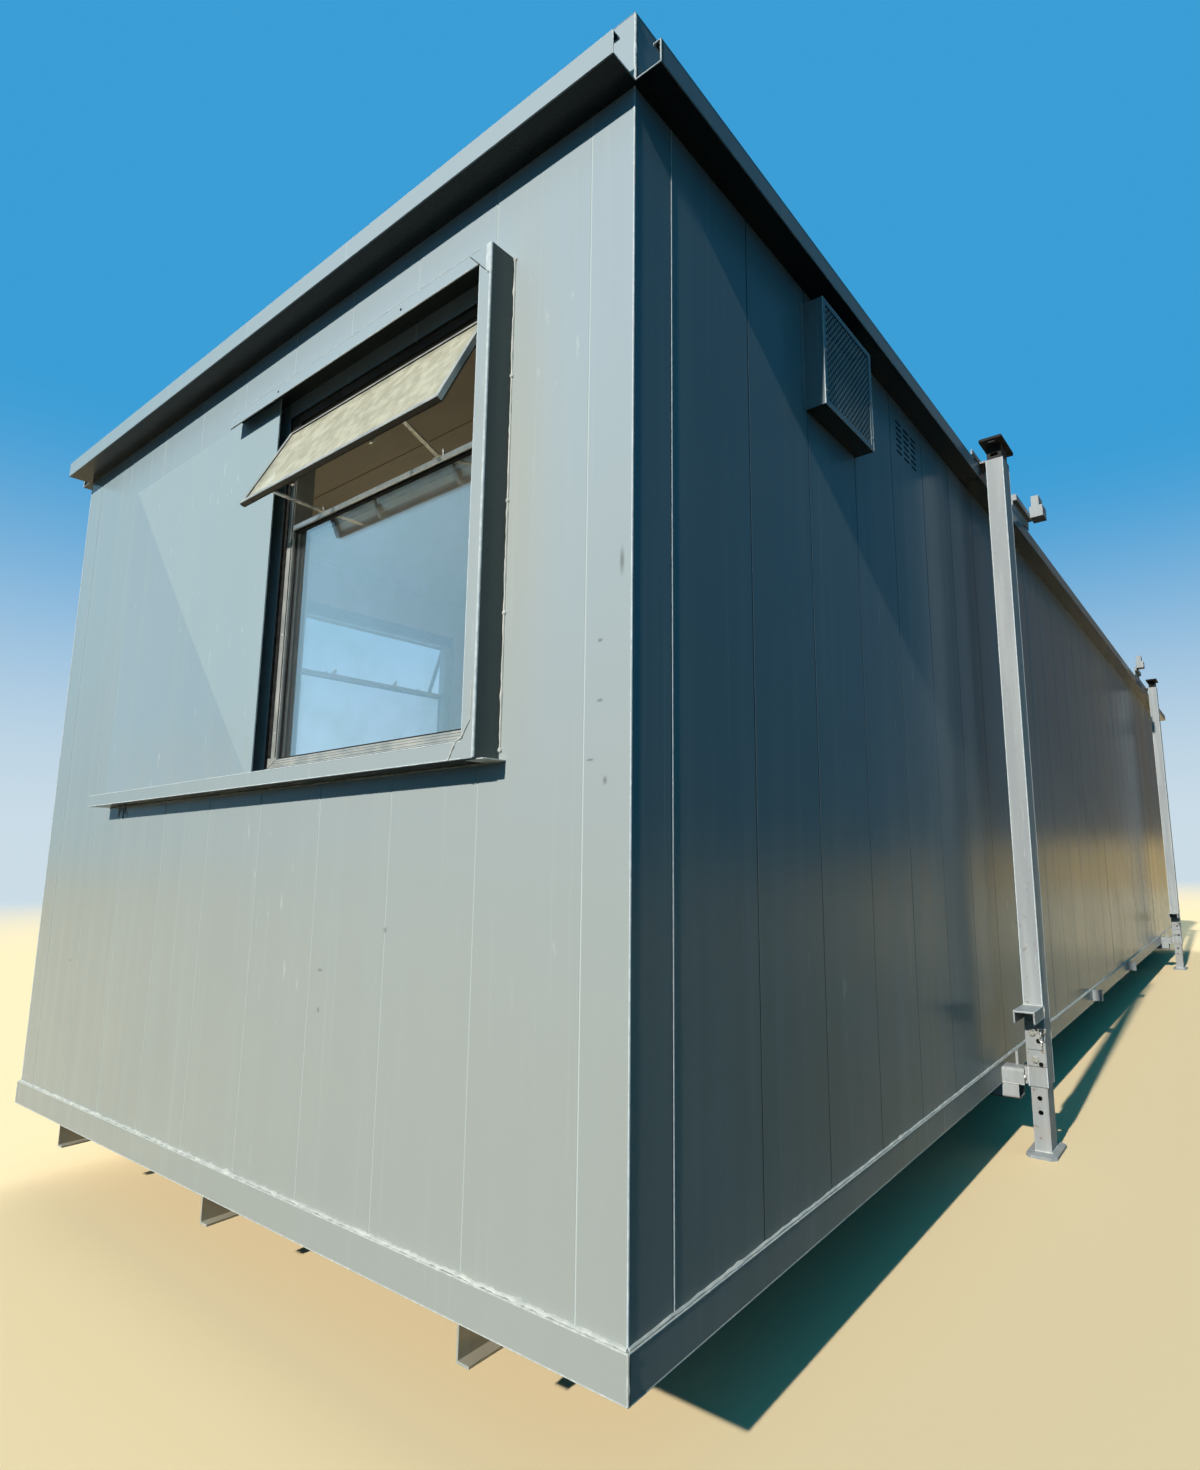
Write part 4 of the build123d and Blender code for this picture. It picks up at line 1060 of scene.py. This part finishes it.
def dress_shutter(side, window):
    bead = Shape()
    top = SHUTTER_HIGH - 0.004
    bead.bead(window, (JAMB_SEALANT, top, 0.0008), (JAMB_SEALANT, -0.033, 0.0008), 0.0030, 0.014, 0.02, 0.2)
    for v in (top, 0.808, 0.513, 0.260, -0.034):
        blob = [(0.0055, -0.001), (0.0055, 0.0025), (0.003, 0.0045)]
        bead.turned(window.along(JAMB_SEALANT, v, 0.0), blob, 10)
    for end, edge, outward in BARS:
        v = edge + outward * 0.002
        bead.bead(window, (end, v, 0.0008), (JAMB[1], v, 0.0008), 0.0026, 0.016, 0.03)
    bead.finish(f"{side}_shutter_sealant", "body_paint", sealant)

    # Pale strips on the jamb's outer corner, its top corner and the bar edges: painted highlights.
    highlight_strips = Shape()
    u, w = JAMB[1] - 0.0022, SHUTTER_OUT - 0.0022
    highlight_strips.rod(window, (u, SHUTTER_LOW + 0.002, w), (u, SHUTTER_HIGH - 0.001, w), 0.0034, 8)
    highlight_strips.bar(window, (0.5065, 0.5215), (1.030, 1.1025), (SHUTTER_OUT - 0.001, SHUTTER_OUT + 0.0006), 0.0004)
    face = SHUTTER_OUT - 0.0008
    for end, edge, outward in BARS:
        for inset in (0.0012, 0.0368):
            v = edge - outward * inset
            highlight_strips.rod(window, (end, v, face), (JAMB[0], v, face), 0.0016)
    highlight_strips.rod(window, (JAMB[0], 0.0, face), (JAMB[0], 1.060, face), 0.0014)
    highlight_strips.finish(f"{side}_shutter_frame_edges", "body_paint", edge_highlight)

    welds = Shape()
    corners = [(0.4455, -0.055), (0.468, -0.018), (0.4855, -0.012), (0.510, 0.022)]
    for start, end in zip(corners, corners[1:]):
        welds.bead(window, (*start, SHUTTER_OUT), (*end, SHUTTER_OUT), 0.0024, 0.006, 0.2)
    welds.bead(window, (0.512, 0.022, SHUTTER_OUT), (0.5125, 0.105, SHUTTER_OUT), 0.0016, 0.010, 0.1)
    welds.bar(window, (0.490, 0.545), (SHUTTER_LOW - 0.003, SHUTTER_LOW), (0.0, 0.058), 0.0008)
    for u, tall in ((-1.446, 0.034), (-1.431, 0.018), (-1.409, 0.046), (-1.392, 0.026)):
        spots = ((u, 0.001), (u + 0.0008, 0.6 * tall), (u, tall))
        drip = [window.point(across, SHUTTER_LOW - down, 0.001) for across, down in spots]
        welds.tube(drip, [0.0020, 0.0013, 0.0021])
    welds.finish(f"{side}_shutter_welds", "body_paint", weld_coat)

    dark = Shape()
    dark.rod(window, (0.450, 1.0975, SHUTTER_OUT), (0.5185, 1.0262, SHUTTER_OUT), 0.0010)
    for u in (0.186, -0.405):
        dark.screw(window.along(u, 1.083, SHUTTER_OUT), 0.0036, 0.0010)
    for u in (TOP_END + 0.02, -0.2, 0.3):
        dark.bar(window, (u, u + 0.05), (SHUTTER_LOW + 0.004, SHUTTER_LOW + 0.0052), (0.040, 0.058), 0.0004)
    dark.finish(f"{side}_shutter_dark_lines", "dark_steel", hole_black)


# Vent cowl: a finely perforated sheet in place of the plain one, folded lips and screws
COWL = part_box("vent_cowl")
COWL_MIDDLE = middle("vent_cowl")
COWL_HALF = ((COWL[1][1] - COWL[0][1]) / 2, (COWL[1][2] - COWL[0][2]) / 2)
GRILLE_FRAME = 0.016
DIAMONDS = (16, 14)
DIAMOND_OPEN = 0.70
SHEET = 0.0016


def dress_grille():
    face = right_place(COWL[1][0] - 0.004, COWL_MIDDLE.y, COWL_MIDDLE.z)
    half_u, half_v = [half - GRILLE_FRAME for half in COWL_HALF]
    wide, tall = 2 * half_u / DIAMONDS[0], 2 * half_v / DIAMONDS[1]
    rhombus = [(0.5, 0.0), (0.0, 0.5), (-0.5, 0.0), (0.0, -0.5)]
    sheet = Shape()
    for row in range(-DIAMONDS[1] - 1, DIAMONDS[1] + 2):
        shift = 0.5 if row % 2 else 0.0
        for column in range(-DIAMONDS[0] // 2 - 1, DIAMONDS[0] // 2 + 1):
            u = (column + 0.5 + shift) * wide
            v = row * tall / 2
            if abs(u) > half_u + 0.001 or abs(v) > half_v + 0.001:
                continue
            points = []
            for w in (0.0, SHEET):
                for scale in (1.0, DIAMOND_OPEN):
                    for a, b in rhombus:
                        points.append(face.point(u + a * wide * scale, v + b * tall * scale, w))
            faces = []
            for k in range(4):
                n = (k + 1) % 4
                for near, far in ((0, 4), (8, 12), (4, 12)):
                    faces.append((near + k, near + n, far + n, far + k))
            sheet.add(points, faces)
    grille = sheet.finish("cowl_perforated_sheet", "body_paint", frame_paint)
    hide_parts("cowl_grille")


def dress_cowl():
    # Pale strips round the cowl's edge: painted highlights.
    trim = Shape()
    outer = right_place(COWL[1][0], COWL_MIDDLE.y, COWL_MIDDLE.z)
    half_wide, half_tall = COWL_HALF
    u, v = half_wide - 0.001, half_tall - 0.001
    reach = ((-half_wide, half_wide), (-half_tall, half_tall))
    trim.rim(outer, (-u, u), (-v, v), -0.001, 0.0017, *reach)
    trim.finish("cowl_edges", "body_paint", edge_highlight)

    fixings = Shape()
    for u in (-half_wide + 0.008, half_wide - 0.008):
        for v in (-half_tall + 0.04, 0.0, half_tall - 0.04):
            fixings.screw(outer.along(u, v, 0.0), 0.0036, 0.0020)
    for sign in SIDES:
        flange = right_place(FACE_X, COWL_MIDDLE.y + sign * (half_wide + 0.006), COWL_MIDDLE.z)
        fixings.bar(flange, (-0.006, 0.006), (-half_tall, half_tall), (0.0, 0.0012), 0.0004)
        for v in (-0.11, 0.11):
            fixings.screw(flange.along(0.0, v, 0.0012), 0.0034, 0.0018)
    fixings.finish("cowl_fixings", "body_paint", frame_paint)


# Jacking legs
LEG_HALF = (0.035, 0.050)
DOUBLER_OUT = 0.056
legs = {name: middle(f"foot_{name}") for name in ("front_right", "front_left", "back_right", "back_left")}
for centre in legs.values():
    centre.z = 0
LEG_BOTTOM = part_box("leg_tubes")[0][2]
LEG_TOP = 2.750
CAP_PLATE = (2.815, 2.825)
HOOK_LOW = 0.489
HOOK_TOP = 0.532
HOOK_OUT = 0.142
FOOT_BEAD = (0.0297, 0.0447)


def dress_leg_edges(name, centre, front):
    # Pale strips up the leg's corners and round the hook: painted highlights.
    edges = Shape()
    inset = 0.0016
    for x in SIDES:
        for y in SIDES:
            corner = centre + Vector((x * (LEG_HALF[0] - inset), y * (LEG_HALF[1] - inset), 0))
            edges.line((*corner.xy, LEG_BOTTOM), (*corner.xy, LEG_TOP), 0.0025, 8)
    half = 0.0368
    top = HOOK_TOP - 0.0012
    for u in (-half, half):
        for v in (top, HOOK_LOW + 0.001):
            edges.rod(front, (u, v, 0.0), (u, v, HOOK_OUT), 0.0016)
    edges.rod(front, (-half, top, HOOK_OUT - 0.0012), (half, top, HOOK_OUT - 0.0012), 0.0016)
    edges.finish(f"{name}_leg_edges", "leg_paint", edge_highlight)


def dress_leg_fixings(name, plate):
    """On the doubler plate: bolts, a shackle with three links of chain, holes and a joint line."""
    fixings = Shape()
    for u, v in ((-0.007, 0.434), (-0.003, 0.338)):
        fixings.bolt(plate.along(u, v, 0.0), 0.019, 0.0085, 0.014)
    shackle = plate.point(0.026, 0.446, 0.004)
    fixings.ring(shackle, plate.right, plate.up, 0.013, 0.0030, -200, 20)
    pin = 0.016 * plate.right
    rise = 0.004 * plate.up
    fixings.line(shackle + pin + rise, shackle - pin + rise, 0.0030, 8)
    for k in range(3):
        link = shackle + Vector((0, -0.002, -0.013 - 0.020 * k))
        fixings.ring(link, plate.right if k % 2 else plate.out, plate.up, 0.0095, 0.0019)
    fixings.finish(f"{name}_leg_fixings", "stay_steel", bright_zinc)

    holes = Shape()
    # Black discs for the pin holes: painted shade inside them.
    for u, v in ((0.012, 0.405), (0.016, 0.322)):
        holes.turned(plate.along(u, v, 0.0), [(0.0085, -0.001), (0.0085, 0.0006)], 16)
    holes.bar(plate, (-0.030, 0.030), (0.372, 0.3735), (-0.0005, 0.0005), 0.0002)
    holes.finish(f"{name}_leg_holes", "dark_steel", hole_black)


def dress_leg_welds(name, centre, front):
    side = math.copysign(1, centre.x)
    half_x, half_y = LEG_HALF
    welds = Shape()
    for z in (0.315, 0.471):
        welds.bead(front, (-half_x, z, 0.002), (half_x, z, 0.002), 0.0030, 0.007)
    for u in (-0.038, 0.038):
        welds.bead(front, (u, HOOK_LOW, 0.0), (u, HOOK_TOP, 0.0), 0.0030, 0.007)
    welds.bead(front, (-half_x, HOOK_TOP, 0.001), (half_x, HOOK_TOP, 0.001), 0.0030, 0.007)
    for y in (-0.025, 0.025):
        lug = (centre.x - side * half_x, centre.y + y, LEG_BOTTOM + 0.004)
        welds.run(lug, (0, 0, 0.052), 0.0030, 0.007)
    for y in (-half_y, half_y):
        start = (centre.x - side * half_x, centre.y + y, LEG_TOP - 0.001)
        welds.weld(start, (side * EDGE_X, *start[1:]), 0.0028, 0.008)
    welds.finish(f"{name}_leg_welds", "leg_paint", weld_coat)

    beads = Shape()
    half_x, half_y = FOOT_BEAD
    for x in SIDES:
        for y in SIDES:
            start = centre + Vector((x * half_x, -y * half_y, 0.0125))
            beads.run(start, (0, 2 * y * half_y, 0), 0.0034, 0.008)
            beads.run(start, (-2 * x * half_x, 0, 0), 0.0034, 0.008)
    beads.finish(f"{name}_foot_welds", "leg_paint", weld_coat, f"jack_foot_{name}")


def dress_beams():
    pins = Shape()
    steps = Shape()
    beam_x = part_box("jack_beams")[1][0]
    half = 0.0395
    disc = [(0.0095, -0.001), (0.0095, 0.004), (0.0080, 0.006)]
    for centre in legs.values():
        side = math.copysign(1, centre.x)
        end = Place((side * beam_x, centre.y, 0), (0, side, 0), (side, 0, 0))
        for v in (-0.029, 0.029):
            pins.turned(end.along(side * v, 0.264, 0.0), disc, 16)
        for sign in SIDES:
            y = centre.y + sign * half
            skin = (y + sign * 0.0006, 0.2375)
            steps.weld((side * beam_x, *skin), (side * EDGE_X, *skin), 0.0022, 0.010)
            for z in (0.262, 0.200):
                steps.run((side * EDGE_X, y, z), (0, 0, 0.022), 0.0028, 0.007)
    pins.finish("beam_end_pins", "stay_steel", bright_zinc)
    steps.finish("beam_welds", "base_steel", weld_coat)


def dress_caps():
    """Rims and welds of the cap plates."""
    rims = Shape()
    for centre in legs.values():
        top = top_place(centre.x, centre.y, CAP_PLATE[1])
        reach = ((-0.0385, 0.0385), (-0.091, 0.091))
        rims.rim(top, (-0.0465, 0.0465), (-0.099, 0.099), -0.001, 0.0013, *reach)
        for y in (-0.045, 0.045):
            start = (centre.x - 0.030, centre.y + y, CAP_PLATE[0] - 0.001)
            rims.run(start, (0.060, 0, 0), 0.0030, 0.008)
    rims.finish("cap_rims", "dark_steel")


# Door: hinges, lock, seals and the drip strip over it
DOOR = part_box("door_frame")
DOOR_HALF = (DOOR[1][1] - DOOR[0][1]) / 2
DOOR_TALL = DOOR[1][2] - DOOR[0][2]
DOOR_FRAME = 0.045


def dress_hinges(door):
    hinge_u = 0.034 - DOOR_HALF
    knuckle = [(0.0065, 0.0), (0.008, 0.001), (0.008, 0.038), (0.0065, 0.039)]
    hinges = Shape()
    for v in (0.24, 1.02, 1.80):
        for shift in (-0.041, 0.0, 0.041):
            spot = Place(door.point(hinge_u, v + shift - 0.0195, 0.008), door.right, door.up)
            hinges.turned(spot, knuckle, 14)
        for wing in ((hinge_u - 0.034, hinge_u), (hinge_u, hinge_u + 0.040)):
            hinges.bar(door, wing, (v - 0.06, v + 0.06), (-0.001, 0.003), 0.001)
        for u in (hinge_u - 0.020, hinge_u + 0.024):
            for step in (-0.042, 0.0, 0.042):
                hinges.screw(door.along(u, v + step, 0.003), 0.0042, 0.0022)
    handle_u = DOOR_HALF - 0.033 - 0.075
    for v in (0.915, 1.085):
        hinges.screw(door.along(handle_u, v, 0.006), 0.0040, 0.0022)
    hinges.turned(door.along(handle_u, 0.955, 0.006), [(0.009, -0.001), (0.009, 0.004), (0.007, 0.006)], 18)
    hinges.bar(door, (handle_u - 0.0012, handle_u + 0.0012), (0.950, 0.960), (0.0055, 0.0064), 0.0003)
    hinges.finish("door_hinges", "stay_steel", bright_zinc)


def dress_door():
    door = left_place(middle("door_frame").y, DOOR[0][2])
    dress_hinges(door)

    strips = Shape()
    over = (-DOOR_HALF - 0.02, DOOR_HALF + 0.02)
    strips.bar(door, over, (DOOR_TALL, DOOR_TALL + 0.022), (0.0, 0.004), 0.001)
    strips.bar(door, over, (DOOR_TALL, DOOR_TALL + 0.004), (0.0, 0.036), 0.001)
    sill = (DOOR_FRAME - DOOR_HALF, DOOR_HALF - DOOR_FRAME)
    strips.bar(door, sill, (0.046, 0.0485), (-0.060, -0.046), 0.0008)
    for u in (-DOOR_HALF - 0.0015, DOOR_HALF + 0.0015):
        strips.bead(door, (u, 0.0, 0.001), (u, DOOR_TALL, 0.001), 0.0030, 0.02, 0.03)
    strips.finish("door_drip_strip", "body_paint", frame_paint)

    seals = Shape()
    leaf = DOOR_HALF - DOOR_FRAME + 0.012
    depth = (-0.012, -0.004)
    for u in (-leaf + 0.002, leaf - 0.002):
        seals.bar(door, (u - 0.0016, u + 0.0016), (0.037, DOOR_TALL - 0.037), depth, 0.0004)
    for v in (DOOR_TALL - 0.035, 0.035):
        seals.bar(door, (-leaf + 0.004, leaf - 0.004), (v - 0.0016, v + 0.0016), depth, 0.0004)
    seals.finish("door_seals", "dark_steel", rubber)


# Inside: cover strips on the ceiling and wall joints, and a skirting
BOARD = 1.22
FIRST_BOARD = 0.49
SKIRTING = 0.07


def dress_room():
    ceiling_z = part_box("ceiling")[0][2]
    (_, near_y, _), (inner_x, far_y, floor_z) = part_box("floor_deck")
    across = (-inner_x, inner_x)
    length = (-far_y, -near_y)
    joints = [-(near_y + FIRST_BOARD + k * BOARD) for k in range(8)]
    edge = (0.0, 0.012)
    overhead = Place((0, 0, ceiling_z), (1, 0, 0), (0, 0, -1))
    strips = Shape()
    for v in joints:
        strips.bar(overhead, (0.02 - inner_x, inner_x - 0.02), (v - 0.018, v + 0.018), (0.0, 0.003), 0.0008)
    for sign in SIDES:
        strips.bar(overhead, sorted((sign * (inner_x - 0.025), sign * inner_x)), length, edge, 0.002)
        end = max(length) if sign == 1 else min(length)
        strips.bar(overhead, across, sorted((end, end - sign * 0.025)), edge, 0.002)
    strips.finish("ceiling_strips", "ceiling_lining")

    walls = Shape()
    right = Place((inner_x, 0, 0), (0, -1, 0), (-1, 0, 0))
    for u in joints:
        walls.bar(right, (u - 0.016, u + 0.016), (floor_z, ceiling_z - 0.012), (0.0, 0.003), 0.0008)
    skirting = (floor_z, floor_z + SKIRTING)
    walls.bar(right, length, skirting, edge, 0.002)
    walls.bar(front_place(0, far_y, 0), (0.012 - inner_x, inner_x - 0.012), skirting, edge, 0.002)
    walls.finish("wall_strips", "lining")


# Roof: laps in the sheet with a row of small screws on each
ROOF_MARGIN = 0.050
ROOF_SHEETS = 9
SCREWS_A_LAP = 11


def dress_roof():
    sheet_x = EDGE_X - ROOF_MARGIN
    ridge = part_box("roof_deck")[1][2]
    length = BACK_Y - FRONT_Y - 2 * ROOF_MARGIN
    laps = Shape()
    screws = Shape()
    for side in SIDES:
        slope = Vector((side * sheet_x, 0, ROOF_EDGE_TOP - ridge))
        out = Vector((side * (ridge - ROOF_EDGE_TOP), 0, sheet_x))
        for k in range(1, ROOF_SHEETS):
            spot = Place((0, FRONT_Y + ROOF_MARGIN + length * k / ROOF_SHEETS, ridge), slope, out)
            laps.bar(spot, (0.004, slope.length - 0.004), (-0.022, 0.022), (-0.001, 0.0018), 0.0006)
            for step in range(1, SCREWS_A_LAP + 1):
                u = slope.length * step / (SCREWS_A_LAP + 1)
                screws.screw(spot.along(u, 0.0, 0.0018), 0.0050, 0.0026)
    laps.line((0, FRONT_Y + 0.052, ridge), (0, BACK_Y - 0.052, ridge), 0.004)
    laps.finish("roof_laps", "roof_paint")
    screws.finish("roof_screws", "roof_paint", bright_zinc)


# Sockets on the base rail
SOCKET_REACH = 0.727
SOCKET_HALF = 0.0235


def dress_sockets():
    (_, _, low), (_, _, high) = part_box("rail_sockets")
    welds = Shape()
    for side in SIDES:
        for y in (MIDDLE_Y - SOCKET_REACH, MIDDLE_Y + SOCKET_REACH):
            for z in (low, high):
                welds.run((side * EDGE_X, y - SOCKET_HALF, z), (0, 2 * SOCKET_HALF, 0), 0.0030, 0.007)
            for step in (-SOCKET_HALF, SOCKET_HALF):
                welds.run((side * (EDGE_X + 0.0005), y + step, low), (0, 0, high - low), 0.0026, 0.007)
    welds.finish("socket_welds", "base_steel", weld_coat)


dress_base()
dress_gutters()
dress_roof_edge()
for side, window in windows.items():
    sash = sash_place(window)
    dress_seals_and_shade_strips(side, window, sash)
    dress_ribs(side, window, sash)
    dress_furniture(side, window, sash)
    dress_shutter(side, window)
dress_grille()
dress_cowl()
for name, centre in legs.items():
    front = front_place(centre.x, centre.y - LEG_HALF[1], 0)
    dress_leg_edges(name, centre, front)
    dress_leg_fixings(name, front.along(0, 0, DOUBLER_OUT - LEG_HALF[1]))
    dress_leg_welds(name, centre, front)
dress_beams()
dress_caps()
dress_door()
dress_room()
dress_roof()
dress_sockets()
